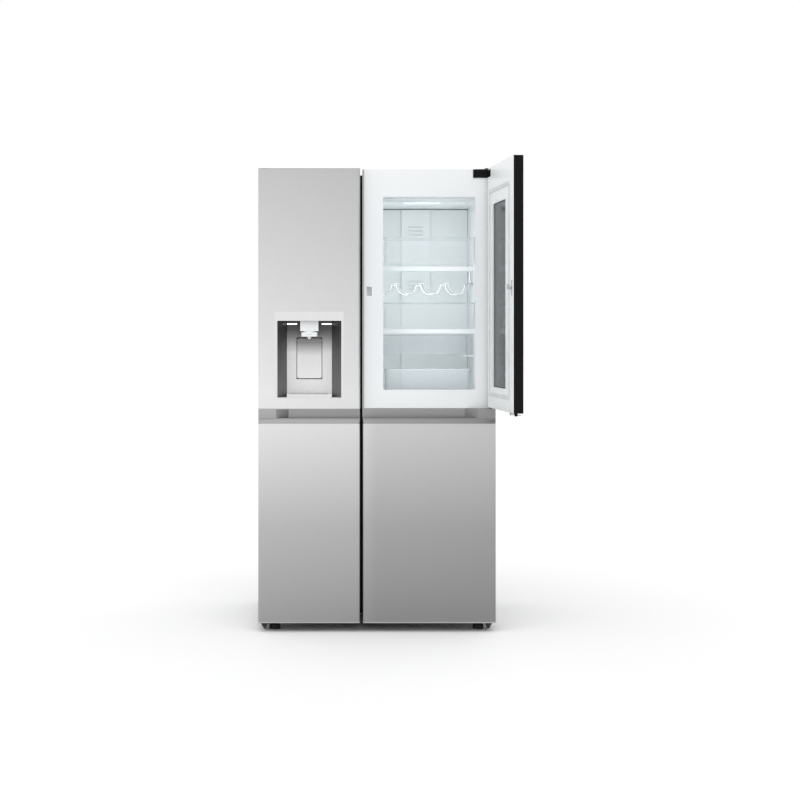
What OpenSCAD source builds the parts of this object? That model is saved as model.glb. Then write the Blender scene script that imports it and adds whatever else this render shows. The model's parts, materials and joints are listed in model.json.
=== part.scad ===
// Side by side refrigerator with a water and ice dispenser in the freezer door
// and a door-in-door on the fridge side. The front faces -Y, the floor is z = 0,
// and x = 0 is the middle of the cabinet. Millimetres throughout.

/* [Overall size] */
// Width of the cabinet, and of both doors with the gap between them
overall_w = 912; // [908:1:920]
// Depth from the door fronts to the rear panel
overall_d = 738; // [734:1:760]
// Height of the door tops above the floor
door_top = 1780; // [1770:1:1800]

/* [Doors] */
// Width of the freezer door
freezer_door_w = 391; // [389:1:393]
// Gap between the two doors
centre_gap = 10; // [9:1:12]
// Thickness of a closed door without its gasket
door_t = 106; // [105:0.5:108]
// Thickness of the outer door that carries the window
outer_t = 37; // [36.5:0.5:37.5]
// Angle at which the outer door stands open
outer_door_open = 94.5; // [0:0.5:105]

/* [Handles and dispenser] */
// Height of the handle recess above the floor
grip_z = 821; // [815:1:825]
// Middle of the dispenser across the freezer door
dispenser_x = -260; // [-262:0.5:-258]
// Angle between the blades of a fan
blade_step = 72; // [60, 72, 90]

/* [Hidden] */
$fn = 48;

// Clearances
part_gap = 0.2;      // between neighbouring sheets and foam blocks
seat_gap = 0.4;      // under something that slides
shaft_gap = 0.06;    // radial, between a pin and its hole
cut = 1;             // how far a cutting shape runs past a face

// Cabinet
half_w = overall_w / 2;
front_y = -overall_d / 2;
back_y = overall_d / 2;
seal_gap = 12;
door_back = front_y + door_t;
case_front = door_back + seal_gap;
case_top = door_top - 16;
foam_bottom = 50;
panel_bottom = 34;
sheet = 1;
panel_x = half_w - sheet - part_gap;   // inside of the side panels

// Compartments, measured to the inside of their liners
seam_x = -half_w + freezer_door_w + centre_gap / 2;
freezer_x = [-half_w + 62, seam_x - 25];
fridge_x = [seam_x + 25, half_w - 50];
floor_z = 105;
ceiling_z = case_top - 92;
back_wall = back_y - 62;
step_y = back_y - 275;
step_z = 305;
machine_front = back_y - 220;
machine_top = 250;
liner_t = 1.5;
skin = liner_t + part_gap;

// Doors
door_bottom = 35;
freezer_door_x = [-half_w, -half_w + freezer_door_w];
fridge_door_x = [freezer_door_x[1] + centre_gap, half_w];
hinge_x = half_w - 22;
hinge_y = door_back - 35;
hinge_pin_r = 6;
front_r = 8;
skin_back = door_back - 3;
cap_t = 4;
grip_top = grip_z + 37;
lip_bottom = grip_z - 21;
grip_depth = 45;
grip_block_back = front_y + 49;

// Door liners and what hangs on them
rib_depth = 14;
rib_w = 12;
basket_depth = 95;
basket_wall = 2.5;
freezer_basket_x = [-half_w + 86, freezer_door_x[1] - 52];
fridge_basket_x = [fridge_door_x[0] + 48, half_w - 87];
freezer_basket_z = [[130, 250], [400, 510], [650, 760], [900, 1010], [1110, 1200]];
lower_basket_z = [[130, 260], [420, 530], [690, 790]];

// Door-in-door: the inner frame and the outer door
outer_gap = 4;
frame_front = front_y + outer_t + outer_gap;
frame_wall = 2.5;
opening_x = [25, 381];
opening_z = [928, 1674];
opening_r = 6;
outer_bottom = grip_top + 4.5;
outer_axis_x = half_w - 11;
outer_axis_y = front_y + 18;
outer_pin_r = 4;
outer_plate_t = 3.4;
outer_liner_back = front_y + outer_t;
notch_x = half_w - 26;
notch_z = door_top - 6;
window_x = [88, 340];
window_z = [945, 1636];
latch_x = -29;
latch_z = 1309;
latch_y = front_y + 23;
lever_pin_y = front_y + 24;
lever_pin_z = outer_bottom - 5.5;
lever_x = [-38, 42];

// Dispenser
cavity_z = [900, 1195];
cavity_half = [123, 87];
cavity_back = front_y + 65;
housing_wall = 2.5;
pocket_half = 50;
pocket_z = [969, 1131];
pocket_back = front_y + 89;
paddle_axis_y = front_y + 73;
paddle_axis_z = 1122;
chute_y = [front_y + 17, front_y + 63];
duct_y = [front_y + 24, front_y + 56];
duct_half = 26;
duct_wall = 3;
elbow_z = [1278, 1332];
flap_y = front_y + 27;
flap_z = 1256;
flap_pin_r = 2;

// Ice maker, in the freezer door
bucket_x = [-half_w + 96, freezer_door_x[1] - 66];
bucket_z = [1270, 1480];
bucket_back = door_back + 117;
auger_y = door_back + 59;
auger_z = 1312;
tray_x = [-345, -150];
tray_y = door_back + 58;
tray_z = 1575;

// Shelves and drawers
shelf_front = case_front + 119;
freezer_duct_y = back_wall - 71;
fridge_duct_y = back_wall - 17;
shelf_t = 5;
freezer_shelf_z = [540, 770, 1000, 1230, 1460];
fridge_shelf_z = [565, 830, 1162, 1411];
drawer_front = case_front + 111;
freezer_drawer_x = [-hinge_x + 62, freezer_x[1] - 6.5];
fridge_drawer_x = [fridge_x[0] + 6.5, hinge_x - 62];
rack_z = 1344;
rack_pitch = 100;
rack_r = 40;
wire_r = 3;

// Machine compartment
compressor_at = [-240, 262];
condenser_x = [30, 330];
fan_z = 142;
fan_y = 262;
fan_r = 68;
evaporator_z = [330, 800];
evaporator_fan_z = 900;
evaporator_x = (freezer_x[0] + freezer_x[1]) / 2;
inlet_at = [395, 120];
inlet_r = 13.2;

// Feet and rollers
foot_x = 395;
foot_y = front_y + 86;
foot_stem_r = 6;
roller_x = 425;
roller_y = back_y - 39;
roller_r = 20;
axle_r = 4;

// ---- Shared shapes -------------------------------------------------------------

// A box from its low corner to its high corner.
module block(low, high) {
    translate(low) cube(high - low);
}

// Both halves of something that is the same on the left and on the right.
module both_sides() {
    children();
    mirror([1, 0, 0]) children();
}

// A flat rectangle with round corners, centred on the origin.
module rounded_rect(w, h, r) {
    square([w - 2 * r, h], center = true);
    square([w, h - 2 * r], center = true);
    for (sx = [-1, 1], sy = [-1, 1])
        translate([sx * (w / 2 - r), sy * (h / 2 - r)]) circle(r = r);
}

// A standing plate with round corners, between two depths.
module face_plate(xs, zs, ys, r) {
    translate([(xs[0] + xs[1]) / 2, ys[1], (zs[0] + zs[1]) / 2])
        rotate([90, 0, 0])
            linear_extrude(ys[1] - ys[0])
                rounded_rect(xs[1] - xs[0], zs[1] - zs[0], r);
}

// A standing ring: one face_plate with another cut out of it.
module face_ring(xs, zs, ys, r, in_x, in_z, in_r) {
    difference() {
        face_plate(xs, zs, ys, r);
        face_plate(in_x, in_z, [ys[0] - cut, ys[1] + cut], in_r);
    }
}

// A flat outline drawn in depth and height, run across from xs[0] to xs[1].
module across(xs) {
    translate([xs[0], 0, 0]) rotate([90, 0, 90]) linear_extrude(xs[1] - xs[0]) children();
}

// A round bar across the width.
module bar_x(xs, y, z, r) {
    translate([xs[0], y, z]) rotate([0, 90, 0]) cylinder(h = xs[1] - xs[0], r = r);
}

// A round bar from front to back.
module bar_y(x, ys, z, r) {
    translate([x, ys[0], z]) rotate([-90, 0, 0]) cylinder(h = ys[1] - ys[0], r = r);
}

// An upright round bar.
module bar_z(x, y, zs, r) {
    translate([x, y, zs[0]]) cylinder(h = zs[1] - zs[0], r = r);
}

// An open-topped bin with round upright corners.
module bin(xs, ys, zs, wall, r) {
    size = [xs[1] - xs[0], ys[1] - ys[0], zs[1] - zs[0]];
    translate([(xs[0] + xs[1]) / 2, (ys[0] + ys[1]) / 2, zs[0]])
        difference() {
            linear_extrude(size.z) rounded_rect(size.x, size.y, r);
            translate([0, 0, wall])
                linear_extrude(size.z)
                    rounded_rect(size.x - 2 * wall, size.y - 2 * wall, r - wall);
        }
}

// ---- Cabinet -------------------------------------------------------------------

module cabinet_panels() {
    color("gainsboro") {
        both_sides() block([half_w - sheet, case_front, panel_bottom], [half_w, back_y, case_top]);
        block([-panel_x, case_front, case_top - sheet], [panel_x, back_y - skin, case_top]);
        block([-panel_x, back_y - sheet, machine_top], [panel_x, back_y, case_top - sheet - part_gap]);
        block([-404, case_front + 27, foam_bottom - sheet - part_gap],
              [404, machine_front - 2 * part_gap, foam_bottom - part_gap]);
    }
}

// The inside of a compartment seen from the side, with its step over the machine room.
module compartment_outline(grow) {
    polygon([
        [case_front - cut, floor_z - grow],
        [step_y + grow, floor_z - grow],
        [step_y + grow, step_z - grow],
        [back_wall + grow, step_z - grow],
        [back_wall + grow, ceiling_z + grow],
        [case_front - cut, ceiling_z + grow],
    ]);
}

// One liner with its own half of the front rim.
module liner(inside_x, rim_x) {
    rim_back = case_front + sheet;
    difference() {
        union() {
            intersection() {
                across([inside_x[0] - liner_t, inside_x[1] + liner_t]) compartment_outline(liner_t);
                block([-half_w, case_front, 0], [half_w, back_y, case_top]);
            }
            block([rim_x[0], case_front, foam_bottom],
                  [rim_x[1], rim_back, case_top - sheet - part_gap]);
        }
        across(inside_x) compartment_outline(0);
    }
}

module compartment_liners() {
    color("white") {
        liner(freezer_x, [-panel_x, seam_x - part_gap / 2]);
        liner(fridge_x, [seam_x + part_gap / 2, panel_x]);
    }
}

// The foam between panels and liners, as convex blocks that all but touch.
module insulation() {
    walls = [
        [-panel_x, freezer_x[0] - skin],
        [freezer_x[1] + skin, fridge_x[0] - skin],
        [fridge_x[1] + skin, panel_x],
    ];
    front = case_front + sheet + part_gap;
    rear = back_y - sheet - part_gap;
    step = step_z - skin;
    color("khaki") {
        block([-panel_x, front, foam_bottom], [panel_x, step_y + skin - part_gap, floor_z - skin]);
        block([-panel_x, step_y + skin, foam_bottom], [panel_x, machine_front, step]);
        block([-panel_x, machine_front + part_gap, machine_top], [panel_x, rear, step]);
        block([-panel_x, back_wall + skin + part_gap, step + part_gap],
              [panel_x, rear, ceiling_z + skin]);
        block([-panel_x, front, ceiling_z + skin + part_gap],
              [panel_x, rear, case_top - sheet - part_gap]);
        for (wall = walls) {
            block([wall[0], front, floor_z - skin + part_gap],
                  [wall[1], step_y + skin - part_gap, step]);
            block([wall[0], front, step + part_gap], [wall[1], back_wall + skin, ceiling_z + skin]);
        }
    }
}

module base_frame() {
    rail_front = case_front + 8;
    rail_x = half_w - 6;
    runner_z = [42, 49.5];
    pan_t = 2;
    fork_gap = 13;
    fork_t = 3;
    color("dimgray") {
        block([-rail_x, rail_front, 30], [rail_x, rail_front + 18, runner_z[1]]);
        block([-rail_x, machine_front, runner_z[0]], [rail_x, back_y - 3, runner_z[0] + pan_t]);
        both_sides() {
            block([roller_x - 20, rail_front, runner_z[0]], [rail_x, back_y - 3, runner_z[1]]);
            for (side = [-1, 1]) {
                inner = roller_x + side * fork_gap;
                outer = inner + side * fork_t;
                block([min(inner, outer), roller_y - 18, 12],
                      [max(inner, outer), roller_y + 18, runner_z[0] + pan_t]);
            }
            bar_x([roller_x - fork_gap - fork_t, roller_x + fork_gap + fork_t],
                  roller_y, roller_r, axle_r);
        }
    }
}

module rear_rollers() {
    tread = 11;
    color("black")
        both_sides()
            difference() {
                bar_x([roller_x - tread, roller_x + tread], roller_y, roller_r, roller_r);
                bar_x([roller_x - tread - cut, roller_x + tread + cut],
                      roller_y, roller_r, axle_r + shaft_gap);
            }
}

// A levelling foot: a round pad on a threaded stem, drawn as its plain cylinder.
module foot(x) {
    pad_r = 21;
    pad_h = 17;
    neck_r = 12;
    color("black") {
        bar_z(x, foot_y, [0, pad_h], pad_r);
        bar_z(x, foot_y, [pad_h, 24], neck_r);
        bar_z(x, foot_y, [24, panel_bottom - 0.5], foot_stem_r);
    }
}

module left_foot() {
    foot(-foot_x);
}

module right_foot() {
    foot(foot_x);
}

module door_hinges() {
    plate_z = [27, 33];
    leaf_z = [door_top + 1, door_top + 6];
    pin_reach = 22;
    color("slategray")
        both_sides() {
            // Bottom bracket, with the stiffener under its outer end
            difference() {
                union() {
                    block([372, hinge_y - 14, plate_z[0]], [half_w - 6, case_front + 7.5, plate_z[1]]);
                    block([372, case_front + 2, plate_z[0]],
                          [half_w - 6, case_front + 7.5, foam_bottom - 1]);
                    translate([0, hinge_y - 10, 0])
                        rotate([90, 0, 0])
                            mirror([0, 0, 1])
                                linear_extrude(22)
                                    polygon([[420, plate_z[0]], [428, 4], [436, 4],
                                             [half_w - 7, plate_z[0]]]);
                }
                bar_z(foot_x, foot_y, [0, plate_z[1] + cut], foot_stem_r + shaft_gap);
            }
            bar_z(hinge_x, hinge_y, [plate_z[1], door_bottom + pin_reach], hinge_pin_r);
            // Top bracket, which runs from the cabinet top out over the door
            block([398, case_front + 21, case_top], [446, case_front + 86, case_top + 5]);
            block([418, case_front + 21, case_top], [446, case_front + 27, leaf_z[1]]);
            block([420, hinge_y - 14, leaf_z[0]], [half_w - 8, case_front + 27, leaf_z[1]]);
            bar_z(hinge_x, hinge_y, [door_top - pin_reach, leaf_z[0]], hinge_pin_r);
        }
}

// Covers on the cabinet top: one over each hinge, and one over the control board.
module top_covers() {
    wall = 3;
    hinge_y_range = [case_front + 15, case_front + 101];
    board_y = [back_y - 219, back_y - 39];
    board_x = 110;
    hinge_top = case_top + 26;
    board_top = case_top + 24;
    color("gray") {
        both_sides()
            difference() {
                block([390, hinge_y_range[0], case_top], [452, hinge_y_range[1], hinge_top]);
                block([390 + wall, hinge_y_range[0] + wall, case_top - cut],
                      [452 - wall, hinge_y_range[1] - wall, hinge_top - wall]);
                block([414, hinge_y_range[0] - cut, case_top - cut],
                      [449.5, hinge_y_range[0] + wall + cut, hinge_top - wall]);
            }
        difference() {
            block([-board_x, board_y[0], case_top], [board_x, board_y[1], board_top]);
            block([-board_x + wall, board_y[0] + wall, case_top - cut],
                  [board_x - wall, board_y[1] - wall, board_top - wall]);
        }
    }
}

// ---- Machine compartment and cold circuit ------------------------------------------

// The rear cover with its louvres, the hole for the water inlet and the mains gland.
module machine_cover() {
    cover_t = 2;
    gland_at = [-400, 120];
    gland_r = 10;
    gland_bore = 4;
    gland_back = back_y + 10;
    inlet_clear_r = 17;
    slot = [70, 5];
    color("darkgray")
        difference() {
            union() {
                block([-half_w + 6, back_y - cover_t, foam_bottom],
                      [half_w - 6, back_y, machine_top - 2]);
                bar_y(gland_at[0], [back_y - cover_t, gland_back], gland_at[1], gland_r);
            }
            for (col = [-3 : 3], row = [0 : 7])
                translate([col * 90 - slot.x / 2, back_y - cover_t - cut, 80 + row * 18])
                    cube([slot.x, cover_t + 2 * cut, slot.y]);
            bar_y(inlet_at[0], [back_y - cover_t - cut, back_y + cut], inlet_at[1], inlet_clear_r);
            bar_y(gland_at[0], [back_y - cover_t - cut, gland_back + cut], gland_at[1], gland_bore);
        }
}

// The sealed compressor pot on its foot plate, with four rubber mounts under it.
module compressor() {
    pan_top = 44;
    mount_h = 12;
    plate_t = 3;
    pot_z = pan_top + mount_h + plate_t;
    pot_r = 74;
    pot_h = 150;
    color("black")
        translate([compressor_at.x, compressor_at.y, 0]) {
            translate([0, 0, pan_top + mount_h]) linear_extrude(plate_t) rounded_rect(200, 130, 12);
            translate([0, 0, pot_z])
                rotate_extrude()
                    polygon(concat(
                        [[0, 0], [pot_r - 14, 0], [pot_r, 14]],
                        [for (a = [0 : 15 : 90])
                            [(pot_r - 30) + 30 * cos(a), pot_h - 30 + 30 * sin(a)]],
                        [[0, pot_h + 6]]));
            for (sx = [-1, 1], sy = [-1, 1])
                translate([sx * 85, sy * 50, pan_top]) cylinder(h = mount_h, r = 11);
        }
}

// A run of tubes across the width, joined by half-round bends, with flat fins on it.
module finned_coil(xs, y_rows, z_low, pitch, count, tube_r, fin_count, fin_depth) {
    bend_r = pitch / 2;
    run = [xs[0] + bend_r + tube_r, xs[1] - bend_r - tube_r];
    z_high = z_low + pitch * (count - 1);
    for (y = y_rows) {
        for (i = [0 : count - 1])
            bar_x(run, y, z_low + i * pitch, tube_r);
        for (i = [0 : count - 2])
            translate([i % 2 == 0 ? run[1] : run[0], y, z_low + (i + 0.5) * pitch])
                rotate([90, i % 2 == 0 ? 90 : -90, 0])
                    rotate_extrude(angle = 180)
                        translate([bend_r, 0]) circle(r = tube_r);
    }
    for (i = [0 : fin_count - 1]) {
        x = run[0] + 8 + i * (run[1] - run[0] - 16) / (fin_count - 1);
        block([x - 0.5, y_rows[0] - fin_depth, z_low - 8],
              [x + 0.5, y_rows[len(y_rows) - 1] + fin_depth, z_high + 8]);
    }
}

module condenser() {
    color("black") finned_coil(condenser_x, [222, 262, 302], 72, 28, 6, 4, 12, 14);
}

module evaporator() {
    color("silver")
        finned_coil([freezer_x[0] + 12, freezer_x[1] - 12], [back_wall - 30],
                    evaporator_z[0] + 20, 48, 10, 4, 12, 18);
}

// Fan blades and hub about the x axis, centred on the origin.
module fan_wheel(r, depth) {
    hub_r = 16;
    color("dimgray")
        difference() {
            union() {
                rotate([0, 90, 0]) cylinder(h = depth, r = hub_r, center = true);
                intersection() {
                    rotate([0, 90, 0]) cylinder(h = depth, r = r, center = true);
                    for (a = [0 : blade_step : 359])
                        rotate([a, 0, 0])
                            translate([0, 0, r / 2])
                                rotate([0, 0, 28])
                                    cube([2, r * 0.95, r], center = true);
                }
            }
            rotate([0, 90, 0]) cylinder(h = depth + 2 * cut, r = axle_r + shaft_gap, center = true);
        }
}

fan_x = -70;
fan_depth = 24;
module condenser_fan() {
    translate([fan_x, fan_y, fan_z]) fan_wheel(fan_r, fan_depth);
}

evaporator_fan_y = back_wall - 45;
module evaporator_fan() {
    translate([evaporator_x, evaporator_fan_y, evaporator_fan_z])
        rotate([0, 0, 90])
            fan_wheel(fan_r - 8, 20);
}

// Two fan motors: each a can with its shaft, on a bracket.
module fan_motors() {
    can_r = 26;
    color("slategray") {
        bar_x([fan_x - 14, fan_x + 14], fan_y, fan_z, axle_r);
        bar_x([fan_x + 14, fan_x + 50], fan_y, fan_z, can_r);
        block([fan_x + 30, fan_y - 40, 44], [fan_x + 34, fan_y + 40, fan_z]);
        bar_y(evaporator_x, [evaporator_fan_y - 12, evaporator_fan_y + 14],
              evaporator_fan_z, axle_r);
        bar_y(evaporator_x, [evaporator_fan_y + 14, back_wall], evaporator_fan_z, can_r);
    }
}

module drip_pan() {
    color("white") bin([120, 330], [machine_front + 6, machine_front + 46], [60, 110], 2, 6);
}

// Copper pipes: compressor to condenser, and from the evaporator into the rear wall.
module refrigerant_pipes() {
    pipe_r = 3;
    pipe_y = machine_front + 14;
    top_z = 190;
    pot_x = compressor_at.x + 40;
    coil_x = condenser_x[0] + 10;
    end_x = freezer_x[0] + 8;
    end_y = back_wall - 30;
    end_z = evaporator_z[0] + 20;
    color("peru") {
        bar_z(pot_x, pipe_y, [100, top_z], pipe_r);
        translate([pot_x, pipe_y, top_z]) sphere(r = pipe_r);
        bar_x([pot_x, coil_x], pipe_y, top_z, pipe_r);
        translate([coil_x, pipe_y, top_z]) sphere(r = pipe_r);
        bar_z(coil_x, pipe_y, [100, top_z], pipe_r);
        // Filter drier
        bar_z(coil_x, pipe_y, [60, 130], 9);
        bar_x([end_x, end_x + 31], end_y, end_z, pipe_r);
        translate([end_x, end_y, end_z]) sphere(r = pipe_r);
        bar_y(end_x, [end_y, back_wall], end_z, pipe_r);
    }
}

// Water valve in the machine compartment; its inlet stub comes out of the back.
module water_valve() {
    stub_end = back_y + 17;
    color("white") {
        bar_y(inlet_at[0], [back_y + 1, stub_end], inlet_at[1], inlet_r);
        bar_y(inlet_at[0], [back_y - 40, back_y + 1], inlet_at[1], 16);
        block([inlet_at[0] - 25, back_y - 80, inlet_at[1] - 20],
              [inlet_at[0] + 25, back_y - 40, inlet_at[1] + 30]);
        bar_z(inlet_at[0], back_y - 60, [inlet_at[1] + 30, inlet_at[1] + 62], 14);
    }
}

// ---- Compartment fittings ----------------------------------------------------------

module duct_covers() {
    cover_t = 4;
    slot = [60, 6];
    low_z = step_z + 1;
    high_z = ceiling_z - 4;
    fridge_mid = (fridge_x[0] + fridge_x[1]) / 2;
    spine_half = 60;
    color("whitesmoke") {
        difference() {
            block([freezer_x[0] + 1, freezer_duct_y, low_z],
                  [freezer_x[1] - 1, freezer_duct_y + cover_t, high_z]);
            for (z = [620 : 230 : 1540], side = [-1, 1], row = [0 : 2])
                translate([evaporator_x + side * 70 - slot.x / 2, freezer_duct_y - cut, z + row * 16])
                    cube([slot.x, cover_t + 2 * cut, slot.y]);
        }
        difference() {
            union() {
                block([fridge_x[0] + 1, fridge_duct_y, low_z],
                      [fridge_x[1] - 1, fridge_duct_y + cover_t, high_z]);
                block([fridge_mid - spine_half, fridge_duct_y - 14, low_z],
                      [fridge_mid + spine_half, fridge_duct_y, high_z]);
            }
            for (z = [640 : 230 : 1560], row = [0 : 2])
                translate([fridge_mid - slot.x / 2, fridge_duct_y - 14 - cut, z + row * 16])
                    cube([slot.x, 8, slot.y]);
        }
    }
}

module shelf(xs, back, top) {
    block([xs[0], shelf_front + 3, top - shelf_t], [xs[1], back, top]);
}

module shelf_glass() {
    color("lightcyan") {
        for (z = freezer_shelf_z)
            shelf([freezer_x[0] + 2, freezer_x[1] - 2], freezer_duct_y - 2, z);
        for (z = fridge_shelf_z)
            shelf([fridge_x[0] + 2, fridge_x[1] - 2], fridge_duct_y - 16, z);
    }
}

// Front strips that the shelf glass sits in.
module shelf_trims() {
    trim_h = 16;
    trim_d = 10;
    color("whitesmoke") {
        for (z = freezer_shelf_z) trim([freezer_x[0] + 2, freezer_x[1] - 2], z, trim_h, trim_d);
        for (z = fridge_shelf_z) trim([fridge_x[0] + 2, fridge_x[1] - 2], z, trim_h, trim_d);
    }
}

module trim(xs, z, h, d) {
    difference() {
        block([xs[0], shelf_front, z - h], [xs[1], shelf_front + d, z + 1]);
        block([xs[0] - cut, shelf_front + 3, z - shelf_t], [xs[1] + cut, shelf_front + d + cut, z]);
    }
}

// A wire rack that hangs under the upper shelf and cradles bottles.
module bottle_rack() {
    first_x = 35;
    hang_x = [fridge_x[0] + 10, fridge_x[1] - 10];
    rows = [shelf_front + 25, shelf_front + 205];
    shelf_under = fridge_shelf_z[3] - shelf_t;
    color("silver") {
        for (y = rows) {
            for (i = [0 : 3])
                translate([first_x + i * rack_pitch, y, rack_z])
                    rotate([-90, 0, 0])
                        rotate_extrude(angle = 180)
                            translate([rack_r, 0]) circle(r = wire_r);
            for (i = [0 : 2])
                bar_x([first_x + i * rack_pitch + rack_r, first_x + (i + 1) * rack_pitch - rack_r],
                      y, rack_z, wire_r);
            bar_x([hang_x[0], first_x - rack_r], y, rack_z, wire_r);
            bar_x([first_x + 3 * rack_pitch + rack_r, hang_x[1]], y, rack_z, wire_r);
            for (x = hang_x) bar_z(x, y, [rack_z, shelf_under], wire_r);
        }
        for (x = hang_x) bar_y(x, rows, rack_z, wire_r);
    }
}

module lamp_lenses() {
    lens_t = 3;
    color("lightyellow") {
        block([evaporator_x - 40, shelf_front + 60, ceiling_z - lens_t],
              [evaporator_x + 40, shelf_front + 140, ceiling_z]);
        block([120, shelf_front + 60, ceiling_z - lens_t], [260, shelf_front + 140, ceiling_z]);
    }
}

// A sliding drawer: a bin with a thicker front and a ledge to pull it by.
module drawer(xs, depth, zs) {
    front_t = 6;
    wall = 2.5;
    pull = [14, 5];
    bin(xs, [drawer_front + front_t, drawer_front + depth], zs, wall, 12);
    difference() {
        block([xs[0] - 2, drawer_front, zs[0]], [xs[1] + 2, drawer_front + front_t + wall, zs[1] + 3]);
        block([xs[0] + wall, drawer_front + front_t, zs[0] + wall],
              [xs[1] - wall, drawer_front + front_t + wall + cut, zs[1] + 3 + cut]);
    }
    block([xs[0] + 40, drawer_front + front_t, zs[1] + 3 - pull.y],
          [xs[1] - 40, drawer_front + front_t + pull.x, zs[1] + 3]);
}

upper_drawer_z = [318, 500];
lower_drawer_z = [112, 290];
crisper_z = [330, 540];
snack_z = [1060, 1138];
upper_drawer_depth = 370;
lower_drawer_depth = 228;
crisper_depth = 400;
snack_depth = 290;

module freezer_drawer_upper() {
    color("lightblue") drawer(freezer_drawer_x, upper_drawer_depth, upper_drawer_z);
}

module freezer_drawer_lower() {
    color("lightblue") drawer(freezer_drawer_x, lower_drawer_depth, lower_drawer_z);
}

module snack_drawer() {
    color("lightblue") drawer(fridge_drawer_x, snack_depth, snack_z);
}

module crisper_upper() {
    color("lightblue") drawer(fridge_drawer_x, crisper_depth, crisper_z);
}

module crisper_lower() {
    color("lightblue") drawer(fridge_drawer_x, lower_drawer_depth, lower_drawer_z);
}

// Ledges on the compartment sides, under the edges of each drawer.
module runners(wall_x, drawer_x, depth, drawer_z) {
    ledge_t = 5;
    overlap = 20;
    y = [drawer_front + 12, drawer_front + depth];
    z = [drawer_z - seat_gap - ledge_t, drawer_z - seat_gap];
    block([wall_x[0], y[0], z[0]], [drawer_x[0] + overlap, y[1], z[1]]);
    block([drawer_x[1] - overlap, y[0], z[0]], [wall_x[1], y[1], z[1]]);
}

module drawer_runners() {
    color("whitesmoke") {
        runners(freezer_x, freezer_drawer_x, upper_drawer_depth, upper_drawer_z[0]);
        runners(freezer_x, freezer_drawer_x, lower_drawer_depth, lower_drawer_z[0]);
        runners(fridge_x, fridge_drawer_x, snack_depth, snack_z[0]);
        runners(fridge_x, fridge_drawer_x, crisper_depth, crisper_z[0]);
        runners(fridge_x, fridge_drawer_x, lower_drawer_depth, lower_drawer_z[0]);
    }
}

// ---- Shared door shapes --------------------------------------------------------------

// A door seen from above: flat front, round front corners, square back.
module door_plan(xs, back, inset) {
    r = front_r - inset;
    w = xs[1] - xs[0] - 2 * inset;
    depth = back - front_y - inset;
    intersection() {
        translate([(xs[0] + xs[1]) / 2, back]) rounded_rect(w, 2 * depth, r);
        translate([xs[0], front_y]) square([xs[1] - xs[0], back - front_y]);
    }
}

// The bent front sheet of a door, between two heights.
module door_skin(xs, zs) {
    translate([0, 0, zs[0]])
        linear_extrude(zs[1] - zs[0])
            difference() {
                door_plan(xs, skin_back, 0);
                door_plan(xs, skin_back, sheet);
            }
}

// A foam block of a door's full outline, between two heights.
module door_foam(xs, zs) {
    translate([0, 0, zs[0]])
        linear_extrude(zs[1] - zs[0])
            door_plan(xs, skin_back, sheet + part_gap);
}

// An end cap of a door, as thick as cap_t.
module door_cap(xs, z) {
    translate([0, 0, z]) linear_extrude(cap_t) door_plan(xs, skin_back, 0);
}

module hinge_hole(x, zs, r) {
    bar_z(x, hinge_y, zs, r);
}

// The recess that both handles share, deep at the centre gap and running out sideways.
module grip_cut(side, seam, zs) {
    deep_end = half_w - 116;
    light_end = half_w - 69;
    back = front_y + grip_depth;
    translate([0, 0, zs[0]])
        linear_extrude(zs[1] - zs[0])
            polygon([
                [seam - side * cut, front_y - cut],
                [seam - side * cut, back],
                [side * deep_end, back],
                [side * light_end, front_y + 2],
                [side * light_end, front_y - cut],
            ]);
}

// A handle band: a solid front with the sloping lip, and the two sides behind it.
module grip_band(xs) {
    z = [lip_bottom + part_gap, grip_top - part_gap];
    bevel = 4;
    for (x = [xs[0], xs[1] - sheet])
        block([x, grip_block_back, z[0]], [x + sheet, skin_back, z[1]]);
    difference() {
        translate([0, 0, z[0]])
            linear_extrude(z[1] - z[0])
                difference() {
                    door_plan(xs, skin_back, 0);
                    translate([xs[0] - cut, grip_block_back])
                        square([xs[1] - xs[0] + 2 * cut, door_t]);
                }
        across([xs[0] - cut, xs[1] + cut])
            polygon([
                [front_y - cut, z[0] - cut],
                [front_y, z[0]],
                [front_y + bevel, lip_bottom + 16],
                [front_y + bevel, grip_z],
                [front_y - cut, grip_z],
            ]);
    }
}

// A seal ring on the back of a main door.
module door_gasket(xs, hinge_side_w, free_side_w) {
    z = [62, case_top - 42];
    band = 20;
    face_ring(xs, z, [door_back, case_front - 0.5], 10,
              [xs[0] + hinge_side_w, xs[1] - free_side_w], [z[0] + band, z[1] - band], 6);
}

// ---- Freezer door --------------------------------------------------------------------

housing_x = [dispenser_x - cavity_half[0] - 3, dispenser_x + cavity_half[0] + 3];
housing_z = [cavity_z[0] - housing_wall, cavity_z[1] + housing_wall];
bezel_x = [dispenser_x - 133, dispenser_x + 132];
bezel_z = [896, 1230];

module freezer_door_skins() {
    color("lightgray") {
        door_skin(freezer_door_x, [door_bottom + cap_t + part_gap, lip_bottom]);
        difference() {
            door_skin(freezer_door_x, [grip_top, door_top - cap_t - part_gap]);
            block([housing_x[0], front_y - cut, housing_z[0] - 0.5],
                  [housing_x[1], front_y + 20, bezel_z[1] - 3]);
        }
    }
}

module freezer_handle() {
    color("gray")
        difference() {
            grip_band(freezer_door_x);
            grip_cut(-1, freezer_door_x[1], [grip_z, grip_top - 3]);
        }
}

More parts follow.
